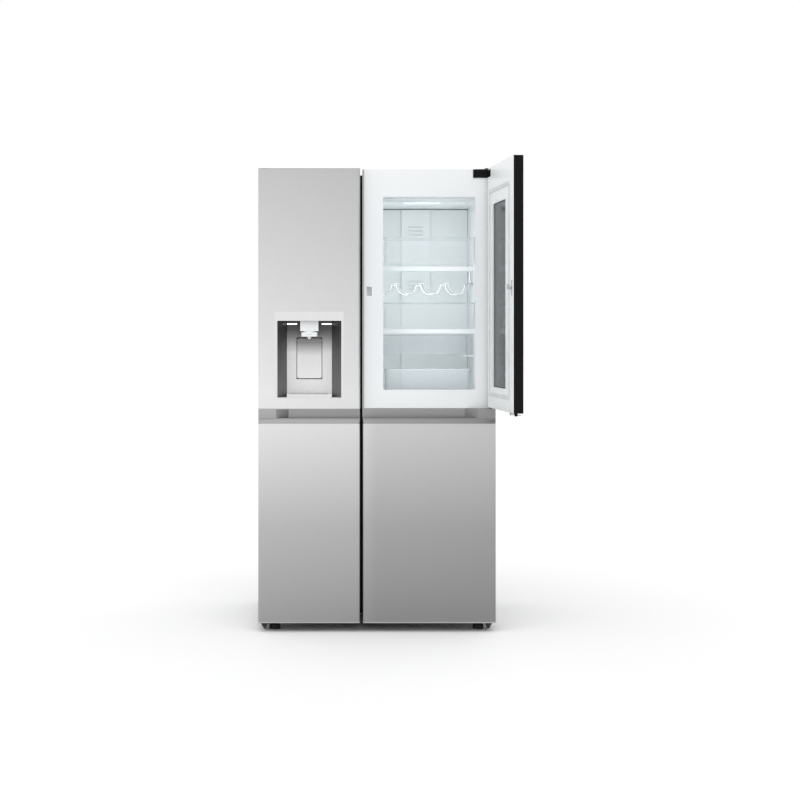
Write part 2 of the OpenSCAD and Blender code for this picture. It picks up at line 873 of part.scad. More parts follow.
// Foam of the freezer door, as convex blocks around the handle and the dispenser.
module freezer_door_foam() {
    back = skin_back - part_gap;
    edge = sheet + part_gap;
    mid_x = [housing_x[0] - part_gap, housing_x[1] + part_gap];
    duct_x = [dispenser_x - duct_half - duct_wall - 1, dispenser_x + duct_half + duct_wall + 1];
    duct_top = elbow_z[1] + duct_wall + 1;
    above = bezel_z[1] + 1;
    low = grip_top + part_gap;
    high = door_top - cap_t - part_gap;
    side_walls = [
        [freezer_door_x[0] + edge, mid_x[0] - part_gap],
        [mid_x[1] + part_gap, freezer_door_x[1] - edge],
    ];
    color("khaki") {
        difference() {
            door_foam(freezer_door_x, [door_bottom + cap_t + part_gap, lip_bottom]);
            hinge_hole(-hinge_x, [0, 100], hinge_pin_r + 2);
        }
        block([freezer_door_x[0] + edge, grip_block_back + part_gap, lip_bottom + part_gap],
              [freezer_door_x[1] - edge, back, grip_top - part_gap]);
        difference() {
            intersection() {
                door_foam(freezer_door_x, [low, high]);
                for (xs = side_walls) block([xs[0], front_y, low], [xs[1], back, high]);
            }
            hinge_hole(-hinge_x, [high - 60, door_top], hinge_pin_r + 2);
        }
        front = front_y + edge;
        block([mid_x[0], front, low], [mid_x[1], back, housing_z[0] - 1]);
        block([mid_x[0], pocket_back + housing_wall + 1, housing_z[0] - 1 + part_gap],
              [mid_x[1], back, housing_z[1] + 1 - part_gap]);
        for (xs = [[mid_x[0], duct_x[0] - part_gap], [duct_x[1] + part_gap, mid_x[1]]]) {
            block([xs[0], front_y + 18, housing_z[1] + 1], [xs[1], back, above - part_gap]);
            block([xs[0], front, above], [xs[1], back, high]);
        }
        block([duct_x[0], front, above], [duct_x[1], duct_y[0] - duct_wall - 1, duct_top - part_gap]);
        block([duct_x[0], front, duct_top], [duct_x[1], back, high]);
    }
}

// The inner liner, moulded in one with the end caps and the ribs that carry the baskets.
module freezer_door_liner() {
    x = freezer_door_x;
    rib_z = [110, ceiling_z - 17];
    color("white")
        difference() {
            union() {
                block([x[0] + 0.5, skin_back, door_bottom], [x[1] - 0.5, door_back, door_top]);
                door_cap(x, door_bottom);
                door_cap(x, door_top - cap_t);
                for (rib = [freezer_basket_x[0] - 2 - rib_w, freezer_basket_x[1] + 2])
                    block([rib, door_back, rib_z[0]], [rib + rib_w, door_back + rib_depth, rib_z[1]]);
            }
            hinge_hole(-hinge_x, [0, door_top + cut], hinge_pin_r + shaft_gap);
            block([dispenser_x - 31, skin_back - cut, elbow_z[0] - 5],
                  [dispenser_x + 31, door_back + cut, elbow_z[1] + 5]);
        }
}

module freezer_gasket() {
    color("lightgray") door_gasket([-hinge_x + 2, freezer_door_x[1] - 3], 22, 20);
}

// A door basket: a bin between the liner's ribs.
module basket(xs, zs) {
    bin(xs, [door_back, door_back + basket_depth], zs, basket_wall, 14);
}

module freezer_baskets() {
    color("lightblue") for (z = freezer_basket_z) basket(freezer_basket_x, z);
}

// The dispenser cavity seen from above, wider at its mouth than at its back.
module cavity_plan(grow, mouth) {
    polygon([
        [dispenser_x - cavity_half[0] - grow, mouth],
        [dispenser_x + cavity_half[0] + grow, mouth],
        [dispenser_x + cavity_half[1] + grow, cavity_back + grow],
        [dispenser_x - cavity_half[1] - grow, cavity_back + grow],
    ]);
}

// The cavity's moulding, with the pocket behind the paddle and the ledge at its foot.
module dispenser_housing() {
    ledge_h = 12;
    ledge_front = front_y + 24;
    stub = 6;
    x = [dispenser_x - pocket_half, dispenser_x + pocket_half];
    duct_room = duct_half + duct_wall + 0.5;
    color("gray")
        difference() {
            union() {
                difference() {
                    union() {
                        translate([0, 0, housing_z[0]])
                            linear_extrude(housing_z[1] - housing_z[0])
                                cavity_plan(housing_wall, front_y);
                        block([x[0] - housing_wall, cavity_back, pocket_z[0] - housing_wall],
                              [x[1] + housing_wall, pocket_back + housing_wall,
                               pocket_z[1] + housing_wall]);
                    }
                    translate([0, 0, cavity_z[0]])
                        linear_extrude(cavity_z[1] - cavity_z[0])
                            cavity_plan(0, front_y - cut);
                    block([x[0], cavity_back - cut, pocket_z[0]], [x[1], pocket_back, pocket_z[1]]);
                }
                block([dispenser_x - cavity_half[1], ledge_front, cavity_z[0]],
                      [dispenser_x + cavity_half[1], cavity_back, cavity_z[0] + ledge_h]);
                bar_x([x[0], x[0] + stub], paddle_axis_y, paddle_axis_z, 2.5);
                bar_x([x[1] - stub, x[1]], paddle_axis_y, paddle_axis_z, 2.5);
            }
            block([dispenser_x - duct_room, chute_y[0] + 1, cavity_z[1] - cut],
                  [dispenser_x + duct_room, duct_y[1] + duct_wall + 0.5, housing_z[1] + cut]);
        }
}

// The flat bezel around the cavity, with the control panel across its top.
module dispenser_panel() {
    plate_y = [front_y - 1.4, front_y - 0.1];
    color("silver") {
        difference() {
            face_plate(bezel_x, bezel_z, plate_y, 4);
            block([dispenser_x - cavity_half[0], plate_y[0] - cut, cavity_z[0]],
                  [dispenser_x + cavity_half[0], plate_y[1] + cut, cavity_z[1]]);
        }
        block([housing_x[0] + 1, plate_y[1], housing_z[1] + 1],
              [housing_x[1] - 1, front_y + 14, bezel_z[1] - 4]);
    }
}

// The paddle that a glass is pushed against, on a barrel at its top.
module dispenser_lever() {
    half = 47.5;
    barrel_r = 5;
    plate_y = [cavity_back - 2, cavity_back + 2];
    color("silver")
        difference() {
            union() {
                face_plate([dispenser_x - half, dispenser_x + half], [973, 1127], plate_y, 8);
                bar_x([dispenser_x - half, dispenser_x + half], paddle_axis_y, paddle_axis_z, barrel_r);
                block([dispenser_x - half + 9, plate_y[0] + 1, paddle_axis_z - 3],
                      [dispenser_x + half - 9, paddle_axis_y, paddle_axis_z + 3]);
            }
            for (x = [dispenser_x - half - cut, dispenser_x + half - 8])
                bar_x([x, x + 8 + cut], paddle_axis_y, paddle_axis_z, 2.5 + shaft_gap);
        }
}

// The ice path: an elbow behind the bucket, a shaft down, and the spout in the cavity.
module ice_chute() {
    x = [dispenser_x - duct_half, dispenser_x + duct_half];
    spout_z = 1155;
    spout_r = 24;
    middle_y = (duct_y[0] + duct_y[1]) / 2;
    top = elbow_z[1];
    color("white")
        difference() {
            union() {
                block([dispenser_x - 35, chute_y[0], spout_z],
                      [dispenser_x + 35, chute_y[1], cavity_z[1] - part_gap]);
                block([x[0] - duct_wall, duct_y[0] - duct_wall, spout_z],
                      [x[1] + duct_wall, duct_y[1] + duct_wall, top + duct_wall]);
                block([x[0] - duct_wall, duct_y[1], elbow_z[0] - duct_wall],
                      [x[1] + duct_wall, door_back, top + duct_wall]);
                translate([dispenser_x, middle_y, spout_z - 20]) cylinder(h = 20, r = 20);
                translate([dispenser_x, middle_y, spout_z - 12]) cylinder(h = 12, r = spout_r);
            }
            block([x[0], duct_y[0], spout_z + 12], [x[1], duct_y[1], top]);
            block([x[0], duct_y[0] + cut, elbow_z[0]], [x[1], door_back + cut, top]);
            translate([dispenser_x, middle_y, spout_z - 20 - cut]) cylinder(h = 40, r = 15);
            bar_x([x[0] - duct_wall - cut, x[1] + duct_wall + cut], flap_y, flap_z,
                  flap_pin_r + shaft_gap);
        }
}

// The flap that keeps the ice path shut, hinged along its front edge.
module ice_flap() {
    half = duct_half - 2;
    reach = duct_half + duct_wall - 0.5;
    color("gray") {
        bar_x([dispenser_x - reach, dispenser_x + reach], flap_y, flap_z, flap_pin_r);
        block([dispenser_x - half, flap_y, flap_z - 1.5],
              [dispenser_x + half, duct_y[1] - 2.5, flap_z + 1.5]);
    }
}

// The ice maker's frame with its motor box, and the flat motor that turns the auger.
module ice_maker() {
    wall = 4;
    roof_z = tray_z + 57;
    x = [tray_x[0] - 7, tray_x[1] + 8];
    y = [door_back, door_back + 113];
    color("gray")
        difference() {
            union() {
                block([x[0], y[0], roof_z], [x[1], y[1], roof_z + wall]);
                for (end = [x[0], x[1] - wall])
                    block([end, tray_y - 24, tray_z - 20], [end + wall, tray_y + 24, roof_z]);
                block([x[1], tray_y - 30, tray_z - 30], [x[1] + 18, tray_y + 30, roof_z + wall]);
                block([bucket_x[1] + 3, auger_y - 21, auger_z - 22],
                      [bucket_x[1] + 13, auger_y + 21, auger_z + 22]);
            }
            bar_x([x[0] - cut, x[1] + 12], tray_y, tray_z, axle_r + shaft_gap);
            bar_x([bucket_x[1], bucket_x[1] + 9], auger_y, auger_z, hinge_pin_r + shaft_gap);
        }
}

// The twisting tray, with two rows of ice pockets.
module ice_tray() {
    half_y = 38;
    tray_h = 26;
    cells = 6;
    wall = 3;
    pitch = (tray_x[1] - tray_x[0] - wall) / cells;
    color("white") {
        difference() {
            block([tray_x[0], tray_y - half_y, tray_z - tray_h / 2],
                  [tray_x[1], tray_y + half_y, tray_z + tray_h / 2]);
            for (i = [0 : cells - 1], side = [0, 1])
                translate([tray_x[0] + wall + i * pitch, tray_y - half_y + wall + side * (half_y - 1),
                           tray_z - tray_h / 2 + wall])
                    cube([pitch - wall, half_y - 5, tray_h]);
        }
        bar_x([tray_x[0] - 9, tray_x[0]], tray_y, tray_z, axle_r);
        bar_x([tray_x[1], tray_x[1] + 15], tray_y, tray_z, axle_r);
    }
}

module ice_bucket() {
    color("lightblue")
        difference() {
            bin(bucket_x, [door_back, bucket_back], bucket_z, basket_wall, 8);
            block([dispenser_x - 24, door_back - cut, elbow_z[0] + 4],
                  [dispenser_x + 24, door_back + 3, elbow_z[1] - 2]);
            bar_x([bucket_x[1] - 5, bucket_x[1] + cut], auger_y, auger_z, hinge_pin_r + shaft_gap);
        }
}

// The auger: a shaft with paddles set round it in steps.
module ice_auger() {
    first_x = bucket_x[0] + 22;
    paddles = 6;
    pitch = (bucket_x[1] - bucket_x[0] - 50) / (paddles - 1);
    reach = 36;
    color("silver") {
        bar_x([bucket_x[0] + 4, bucket_x[1] + 8], auger_y, auger_z, hinge_pin_r);
        for (i = [0 : paddles - 1])
            translate([first_x + i * pitch, auger_y, auger_z])
                rotate([i * 60, 0, 0])
                    translate([0, 0, reach / 2])
                        cube([10, 4, reach], center = true);
    }
}

// ---- Fridge door ---------------------------------------------------------------------

module fridge_door_skin() {
    color("lightgray") door_skin(fridge_door_x, [door_bottom + cap_t + part_gap, lip_bottom]);
}

module fridge_handle() {
    color("gray")
        difference() {
            grip_band(fridge_door_x);
            grip_cut(1, fridge_door_x[0], [grip_z, grip_top + cut]);
        }
}

receiver_x = [latch_x - 9.5, latch_x + 9.5];
receiver_z = [latch_z - 17, latch_z + 17];
receiver_back = frame_front + 25;

// The white frame behind the outer door: a moulding round the opening, hollow for foam.
module door_frame() {
    outer_x = fridge_door_x;
    outer_z = [grip_top, door_top];
    w = frame_wall;
    color("white")
        difference() {
            block([outer_x[0], frame_front, outer_z[0]], [outer_x[1], skin_back, outer_z[1]]);
            difference() {
                block([outer_x[0] + w, frame_front + w, outer_z[0] + w],
                      [outer_x[1] - w, skin_back + cut, outer_z[1] - w]);
                face_plate([opening_x[0] - w, opening_x[1] + w], [opening_z[0] - w, opening_z[1] + w],
                           [frame_front, skin_back + 2 * cut], opening_r + w);
                block([receiver_x[0] - w, frame_front, receiver_z[0] - w],
                      [receiver_x[1] + w, receiver_back + w, receiver_z[1] + w]);
            }
            face_plate(opening_x, opening_z, [frame_front - cut, skin_back + cut], opening_r);
            block([receiver_x[0], frame_front - cut, receiver_z[0]],
                  [receiver_x[1], receiver_back, receiver_z[1]]);
            hinge_hole(hinge_x, [door_top - 10, door_top + cut], hinge_pin_r + shaft_gap);
        }
}

// Foam of the fridge door: below the handle, behind it, and round the opening.
module fridge_door_foam() {
    w = frame_wall + part_gap;
    edge = sheet + part_gap;
    back = skin_back - part_gap;
    front = frame_front + w;
    low = grip_top + w;
    high = door_top - w;
    left = fridge_door_x[0] + w;
    right = fridge_door_x[1] - w;
    ox = [opening_x[0] - w, opening_x[1] + w];
    oz = [opening_z[0] - w, opening_z[1] + w];
    color("khaki") {
        difference() {
            door_foam(fridge_door_x, [door_bottom + cap_t + part_gap, lip_bottom]);
            hinge_hole(hinge_x, [0, 100], hinge_pin_r + 2);
        }
        block([fridge_door_x[0] + edge, grip_block_back + part_gap, lip_bottom + part_gap],
              [fridge_door_x[1] - edge, back, grip_top - part_gap]);
        difference() {
            block([left, front, low], [ox[0], back, high]);
            block([receiver_x[0] - w, front - cut, receiver_z[0] - w],
                  [receiver_x[1] + w, receiver_back + w, receiver_z[1] + w]);
        }
        difference() {
            block([ox[1], front, low], [right, back, high]);
            hinge_hole(hinge_x, [high - 60, door_top], hinge_pin_r + 2);
        }
        block([ox[0] + part_gap, front, low], [ox[1] - part_gap, back, oz[0]]);
        block([ox[0] + part_gap, front, oz[1]], [ox[1] - part_gap, back, high]);
    }
}

module fridge_door_liner() {
    x = fridge_door_x;
    rib_z = [110, 800];
    color("white")
        difference() {
            union() {
                block([x[0] + 0.5, skin_back, door_bottom], [x[1] - 0.5, door_back, door_top]);
                door_cap(x, door_bottom);
                for (rib = [fridge_basket_x[0] - 2 - rib_w, fridge_basket_x[1] + 2])
                    block([rib, door_back, rib_z[0]], [rib + rib_w, door_back + rib_depth, rib_z[1]]);
            }
            face_plate(opening_x, opening_z, [skin_back - cut, door_back + cut], opening_r);
            hinge_hole(hinge_x, [0, 100], hinge_pin_r + shaft_gap);
        }
}

module fridge_gasket() {
    color("lightgray")
        mirror([1, 0, 0])
            door_gasket([-hinge_x + 2, -fridge_door_x[0] - 2], 22, 20);
}

// A basket in the opening: wide in front where it is reached, narrower behind the frame.
module opening_basket(zs) {
    w = basket_wall;
    wide_x = [opening_x[0] + 2, opening_x[1] - 2];
    narrow_x = [opening_x[0] + 12, opening_x[1] - 12];
    front = frame_front + 10;
    middle = door_back;
    back = door_back + basket_depth;
    difference() {
        union() {
            block([wide_x[0], front, zs[0]], [wide_x[1], middle, zs[1]]);
            block([narrow_x[0], middle - cut, zs[0]], [narrow_x[1], back, zs[1]]);
        }
        block([wide_x[0] + w, front + w, zs[0] + w], [wide_x[1] - w, middle - w, zs[1] + cut]);
        block([narrow_x[0] + w, middle - w - cut, zs[0] + w], [narrow_x[1] - w, back - w, zs[1] + cut]);
    }
}

module door_baskets() {
    color("lightcyan") {
        opening_basket([1418, 1516]);
        opening_basket([1164, 1264]);
        basket([opening_x[0] + 12, opening_x[1] - 12], [905, 1005]);
        for (z = lower_basket_z) basket(fridge_basket_x, z);
    }
}

// A bracket of the outer door: a leaf on the frame's face, with its pin.
module outer_bracket(leaf_z, pin_z) {
    block([outer_axis_x - 11, outer_axis_y, leaf_z[0]], [half_w, frame_front, leaf_z[1]]);
    bar_z(outer_axis_x, outer_axis_y, leaf_z, 11);
    bar_z(outer_axis_x, outer_axis_y, pin_z, outer_pin_r);
}

module outer_door_hinges() {
    top = door_top - 0.5;
    color("black") {
        outer_bracket([top - 4.5, top], [top - 26.5, top - 4.5]);
        outer_bracket([grip_top + 0.2, grip_top + 4], [grip_top + 4, grip_top + 27]);
        // Cover plate beside the upper leaf
        block([half_w - 84, frame_front - outer_plate_t, top - 32.5],
              [outer_axis_x, frame_front, top]);
    }
}

// ---- Outer door ----------------------------------------------------------------------

// Places what is drawn closed at the angle where the outer door stands open.
module outer_pose() {
    translate([outer_axis_x, outer_axis_y, 0])
        rotate([0, 0, outer_door_open])
            translate([-outer_axis_x, -outer_axis_y, 0])
                children();
}

// The corner that stays clear for the upper hinge leaf.
module hinge_notch() {
    block([notch_x, front_y - cut, notch_z], [half_w + cut, frame_front, door_top + cut]);
}

// The back corner on the hinge side, rounded so that it swings past the cover plate.
module hinge_round() {
    r = frame_front - outer_axis_y - outer_plate_t - 0.5;
    z = [outer_bottom - cut, door_top + cut];
    difference() {
        block([outer_axis_x, outer_axis_y, z[0]], [half_w + cut, frame_front, z[1]]);
        bar_z(outer_axis_x, outer_axis_y, [z[0] - cut, z[1] + cut], r);
    }
}

outer_x = fridge_door_x;
outer_z = [outer_bottom, door_top];
rim_w = [12, 24];
core_x = [outer_x[0] + rim_w[0] + part_gap, outer_x[1] - rim_w[1] - part_gap];
core_z = [outer_z[0] + rim_w[0] + part_gap, outer_z[1] - rim_w[0] - part_gap];
glass_front = front_y + 1.4;
liner_flange = 2;

module outer_door_skin() {
    color("lightgray")
        outer_pose()
            difference() {
                face_plate(outer_x, outer_z, [front_y, glass_front], 3);
                hinge_notch();
            }
}

// The black edge frame, with the lugs and the pin that carry the release lever.
module outer_door_frame() {
    y = [glass_front + part_gap, outer_liner_back - liner_flange - part_gap];
    lug_t = 4;
    lug_y = [lever_pin_y - 5, lever_pin_y + 5];
    color("black")
        outer_pose()
            difference() {
                union() {
                    difference() {
                        block([outer_x[0], y[0], outer_z[0]], [outer_x[1], y[1], outer_z[1]]);
                        block([outer_x[0] + rim_w[0], y[0] - cut, outer_z[0] + rim_w[0]],
                              [outer_x[1] - rim_w[1], y[1] + cut, outer_z[1] - rim_w[0]]);
                    }
                    for (x = [lever_x[0] - lug_t - 1, lever_x[1] + 1])
                        block([x, lug_y[0], lever_pin_z - 5], [x + lug_t, lug_y[1], outer_z[0]]);
                    bar_x([lever_x[0] - 1, lever_x[1] + 1], lever_pin_y, lever_pin_z, 2);
                }
                hinge_notch();
                hinge_round();
                bar_z(outer_axis_x, outer_axis_y, [outer_z[0] - cut, outer_z[0] + 25],
                      outer_pin_r + shaft_gap);
                bar_z(outer_axis_x, outer_axis_y, [notch_z - 24, door_top],
                      outer_pin_r + shaft_gap);
            }
}

hook_room_x = [latch_x - 10, latch_x + 10];
hook_room_z = [latch_z - 28, latch_z + 28];

// The white inside of the outer door, with its window opening and the hook's pocket.
module outer_door_liner() {
    hook_room_y = front_y + 14;
    color("white")
        outer_pose()
            difference() {
                union() {
                    block([core_x[0], glass_front + part_gap, core_z[0]],
                          [core_x[1], outer_liner_back, core_z[1]]);
                    face_plate([outer_x[0] + 0.5, outer_x[1] - 0.5], [outer_z[0] + 0.5, outer_z[1] - 0.5],
                               [outer_liner_back - liner_flange, outer_liner_back], 3);
                }
                face_plate(window_x, window_z, [front_y, outer_liner_back + cut], 8);
                difference() {
                    block([hook_room_x[0], hook_room_y, hook_room_z[0]],
                          [hook_room_x[1], outer_liner_back + cut, hook_room_z[1]]);
                    bar_x([hook_room_x[0] - cut, hook_room_x[1] + cut], latch_y, latch_z, 3);
                }
                hinge_notch();
                hinge_round();
            }
}

module outer_door_window() {
    gap = 0.4;
    color("dimgray", 0.7)
        outer_pose()
            face_plate([window_x[0] + gap, window_x[1] - gap], [window_z[0] + gap, window_z[1] - gap],
                       [front_y + 9, front_y + 31], 8 - gap);
}

module outer_door_gasket() {
    color("gray")
        outer_pose()
            face_ring([opening_x[0] - 19, opening_x[1] + 19], [opening_z[0] - 20, opening_z[1] + 20],
                      [outer_liner_back, frame_front - 0.4], 10,
                      [opening_x[0] - 5, opening_x[1] + 5], [opening_z[0] - 6, opening_z[1] + 6], 6);
}

// The hook that reaches into the receiver of the frame.
module latch_hook() {
    half = 6;
    tip_y = frame_front + 12;
    barb = [6, 8];
    color("silver")
        outer_pose()
            difference() {
                union() {
                    bar_x([latch_x - half - 2, latch_x + half + 2], latch_y, latch_z, 5.5);
                    block([latch_x - half, latch_y, latch_z - 5], [latch_x + half, tip_y, latch_z + 5]);
                    block([latch_x - half, tip_y - barb[0], latch_z],
                          [latch_x + half, tip_y, latch_z + 5 + barb[1]]);
                }
                bar_x([latch_x - half - 2 - cut, latch_x + half + 2 + cut],
                      latch_y, latch_z, 3 + shaft_gap);
            }
}

// The lever under the free corner that lets the outer door go.
module release_lever() {
    plate_front = front_y + 3;
    color("white")
        outer_pose()
            difference() {
                union() {
                    bar_x([lever_x[0], lever_x[1]], lever_pin_y, lever_pin_z, 4);
                    block([lever_x[0], plate_front, lever_pin_z - 4],
                          [lever_x[1], lever_pin_y, lever_pin_z - 1]);
                }
                bar_x([lever_x[0] - cut, lever_x[1] + cut], lever_pin_y, lever_pin_z, 2 + shaft_gap);
            }
}

cabinet_panels();
compartment_liners();
insulation();
base_frame();
machine_cover();
compressor();
condenser();
fan_motors();
condenser_fan();
drip_pan();
refrigerant_pipes();
evaporator();
evaporator_fan();
duct_covers();
top_covers();
water_valve();
door_hinges();
shelf_glass();
shelf_trims();
bottle_rack();
lamp_lenses();
drawer_runners();
freezer_drawer_upper();
freezer_drawer_lower();
snack_drawer();
crisper_upper();
crisper_lower();
rear_rollers();
left_foot();
right_foot();
freezer_door_skins();
freezer_handle();
freezer_door_foam();
freezer_door_liner();
freezer_gasket();
freezer_baskets();
dispenser_housing();
dispenser_panel();
dispenser_lever();
ice_chute();
ice_flap();
ice_maker();
ice_tray();
ice_bucket();
ice_auger();
fridge_door_skin();
fridge_handle();
door_frame();
fridge_door_foam();
fridge_door_liner();
fridge_gasket();
door_baskets();
outer_door_hinges();
outer_door_skin();
outer_door_frame();
outer_door_liner();
outer_door_window();
outer_door_gasket();
latch_hook();
release_lever();
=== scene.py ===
"""Looks of the side by side refrigerator: materials, small fittings, floor, lights and camera.

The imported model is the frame. Metres, +Z up, the doors face -Y.
"""
import json
import math

import bpy
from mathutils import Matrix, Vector


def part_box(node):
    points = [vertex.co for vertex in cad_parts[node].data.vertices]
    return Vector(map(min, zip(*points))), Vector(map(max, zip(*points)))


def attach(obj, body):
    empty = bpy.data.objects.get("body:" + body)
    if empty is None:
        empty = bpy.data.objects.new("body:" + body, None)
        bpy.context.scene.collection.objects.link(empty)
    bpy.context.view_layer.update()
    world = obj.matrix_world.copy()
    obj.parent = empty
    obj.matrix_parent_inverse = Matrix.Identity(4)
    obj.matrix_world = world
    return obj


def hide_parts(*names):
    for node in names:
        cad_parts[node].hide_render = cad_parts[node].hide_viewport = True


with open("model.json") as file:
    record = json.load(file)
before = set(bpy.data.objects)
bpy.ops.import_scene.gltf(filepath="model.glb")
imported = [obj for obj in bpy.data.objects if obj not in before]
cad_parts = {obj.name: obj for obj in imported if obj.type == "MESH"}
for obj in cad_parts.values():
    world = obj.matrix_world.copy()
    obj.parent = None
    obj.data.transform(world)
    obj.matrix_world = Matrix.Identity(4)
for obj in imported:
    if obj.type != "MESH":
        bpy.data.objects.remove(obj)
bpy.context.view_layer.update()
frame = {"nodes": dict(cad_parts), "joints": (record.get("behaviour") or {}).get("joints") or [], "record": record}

NODES = frame["nodes"]
MM = 0.001


# ---- Camera ------------------------------------------------------------------------

CAMERA_AT = Vector((-0.219, -6.669, 1.155))
CAMERA_LENS = 73.9
CAMERA_SHIFT = (0.1, -0.086)


def make_camera():
    """A level camera in front, shifted to frame the refrigerator as the photograph does."""
    data = bpy.data.cameras.new("camera")
    data.lens = CAMERA_LENS
    data.sensor_width = 36.0
    data.shift_x, data.shift_y = CAMERA_SHIFT
    data.clip_end = 100.0
    camera = bpy.data.objects.new("camera", data)
    camera.location = CAMERA_AT
    camera.rotation_euler = (math.radians(90), 0, 0)
    bpy.context.scene.collection.objects.link(camera)
    bpy.context.scene.camera = camera


# ---- Materials -----------------------------------------------------------------------

# The colour sockets of a Mix node, whose names are shared with its other sockets
MIX_FIRST, MIX_SECOND, MIX_RESULT = 6, 7, 2


class Surface:
    """A node material: one Principled shader and helpers that feed it."""

    def __init__(self, name, colour, roughness, metallic=0.0):
        self.material = bpy.data.materials.new(name)
        self.material.use_nodes = True
        self.tree = self.material.node_tree
        self.shader = self.tree.nodes["Principled BSDF"]
        self.set("Base Color", (*colour, 1.0))
        self.set("Roughness", roughness)
        self.set("Metallic", metallic)
        self.colour = colour
        self.place = self.node("ShaderNodeTexCoord").outputs["Object"]

    def node(self, kind, **values):
        made = self.tree.nodes.new(kind)
        for key, value in values.items():
            setattr(made, key, value)
        return made

    def set(self, socket, value):
        self.shader.inputs[socket].default_value = value
        return self

    def link(self, source, target):
        self.tree.links.new(source, target)

    def stretched(self, scale):
        mapping = self.node("ShaderNodeMapping")
        mapping.inputs["Scale"].default_value = scale
        self.link(self.place, mapping.inputs["Vector"])
        return mapping.outputs["Vector"]

    def noise(self, scale, detail=3.0, stretch=(1, 1, 1)):
        noise = self.node("ShaderNodeTexNoise")
        noise.inputs["Scale"].default_value = scale
        noise.inputs["Detail"].default_value = detail
        self.link(self.stretched(stretch), noise.inputs["Vector"])
        return noise.outputs["Fac"]

    def ranged(self, value, low, high, at=(0.3, 0.7)):
        ranged = self.node("ShaderNodeMapRange")
        ranged.inputs["From Min"].default_value = at[0]
        ranged.inputs["From Max"].default_value = at[1]
        ranged.inputs["To Min"].default_value = low
        ranged.inputs["To Max"].default_value = high
        self.link(value, ranged.inputs["Value"])
        return ranged.outputs["Result"]

    def mixed(self, factor, first, second):
        mix = self.node("ShaderNodeMix", data_type="RGBA")
        self.link(factor, mix.inputs["Factor"])
        for socket, value in ((mix.inputs[MIX_FIRST], first), (mix.inputs[MIX_SECOND], second)):
            if isinstance(value, tuple):
                socket.default_value = (*value, 1.0)
            else:
                self.link(value, socket)
        return mix.outputs[MIX_RESULT]

    def ramp(self, value, stops):
        """A colour that follows a value, given as (value, grey or colour) stops."""
        low, high = stops[0][0], stops[-1][0]
        ramp = self.node("ShaderNodeValToRGB")
        self.link(self.ranged(value, 0.0, 1.0, (low, high)), ramp.inputs["Fac"])
        elements = ramp.color_ramp.elements
        for place, _ in stops[1:-1]:
            elements.new((place - low) / (high - low))
        for element, (_, tone) in zip(elements, stops):
            colour = tone if isinstance(tone, tuple) else (tone, tone, tone)
            element.color = (*colour, 1.0)
        return ramp.outputs["Color"]

    def times(self, first, second):
        mix = self.node("ShaderNodeMix", data_type="RGBA", blend_type="MULTIPLY")
        mix.inputs["Factor"].default_value = 1.0
        self.link(first, mix.inputs[MIX_FIRST])
        self.link(second, mix.inputs[MIX_SECOND])
        return mix.outputs[MIX_RESULT]

    def shade(self, amount):
        return tuple(min(1.0, c * amount) for c in self.colour)

    def vary_colour(self, value, spread):
        factor = self.ranged(value, 0.0, 1.0)
        mix = self.mixed(factor, self.shade(1 - spread), self.shade(1 + spread))
        self.link(mix, self.shader.inputs["Base Color"])
        return self

    def vary_roughness(self, value, low, high):
        self.link(self.ranged(value, low, high), self.shader.inputs["Roughness"])
        return self

    def bump(self, value, distance, strength=1.0):
        bump = self.node("ShaderNodeBump")
        bump.inputs["Distance"].default_value = distance
        bump.inputs["Strength"].default_value = strength
        self.link(value, bump.inputs["Height"])
        self.link(bump.outputs["Normal"], self.shader.inputs["Normal"])
        return self

    def axis(self, which):
        split = self.node("ShaderNodeSeparateXYZ")
        self.link(self.place, split.inputs["Vector"])
        return split.outputs[which]

    def normal_axis(self, which):
        coordinates = self.node("ShaderNodeTexCoord")
        split = self.node("ShaderNodeSeparateXYZ")
        self.link(coordinates.outputs["Normal"], split.inputs["Vector"])
        return split.outputs[which]


# The grain of brushed steel: how fine it is, and how it is stretched along each axis
GRAIN_SCALE = 900.0
UPRIGHT, SIDEWAYS, NO_GRAIN = (1.0, 1.0, 0.012), (0.012, 1.0, 1.0), (1.0, 1.0, 1.0)


def brushed_steel(name, colour, roughness=0.36, grain=UPRIGHT):
    """Sheet steel with a fine one-way grain: streaks in colour, gloss and relief."""
    steel = Surface(name, colour, roughness, metallic=1.0)
    streaks = steel.noise(GRAIN_SCALE, detail=2.0, stretch=grain)
    steel.vary_colour(streaks, spread=0.015)
    steel.vary_roughness(streaks, roughness - 0.05, roughness + 0.06)
    steel.bump(streaks, distance=0.04 * MM, strength=0.35)
    return steel


def steel_with_painted_light(name, up, across=None, roughness=0.36, grain=UPRIGHT):
    """Brushed steel with painted light: its tone drifts with height and from side to side, painted highlights,
    reflections and shade like those on a lit door.
    """
    steel = brushed_steel(name, MID_GREY, roughness, grain)
    # Painted light: the ramps along the height and the width stand in for highlight, reflection and shade
    tone = steel.ramp(steel.axis("Z"), up)
    if across:
        tone = steel.times(tone, steel.ramp(steel.axis("X"), across))
    streaks = steel.noise(GRAIN_SCALE, detail=2.0, stretch=grain)
    streaked = steel.times(tone, steel.ramp(streaks, ((0.3, 0.96), (0.7, 1.0))))
    steel.link(streaked, steel.shader.inputs["Base Color"])
    return steel


def painted(name, colour, roughness=0.45):
    """Painted sheet with a faint orange peel and slow changes in tone."""
    paint = Surface(name, colour, roughness)
    paint.vary_colour(paint.noise(2.0, detail=2.0), spread=0.01)
    paint.vary_roughness(paint.noise(40.0, detail=3.0), roughness - 0.03, roughness + 0.04)
    paint.bump(paint.noise(520.0, detail=2.0), distance=0.06 * MM, strength=0.5)
    return paint


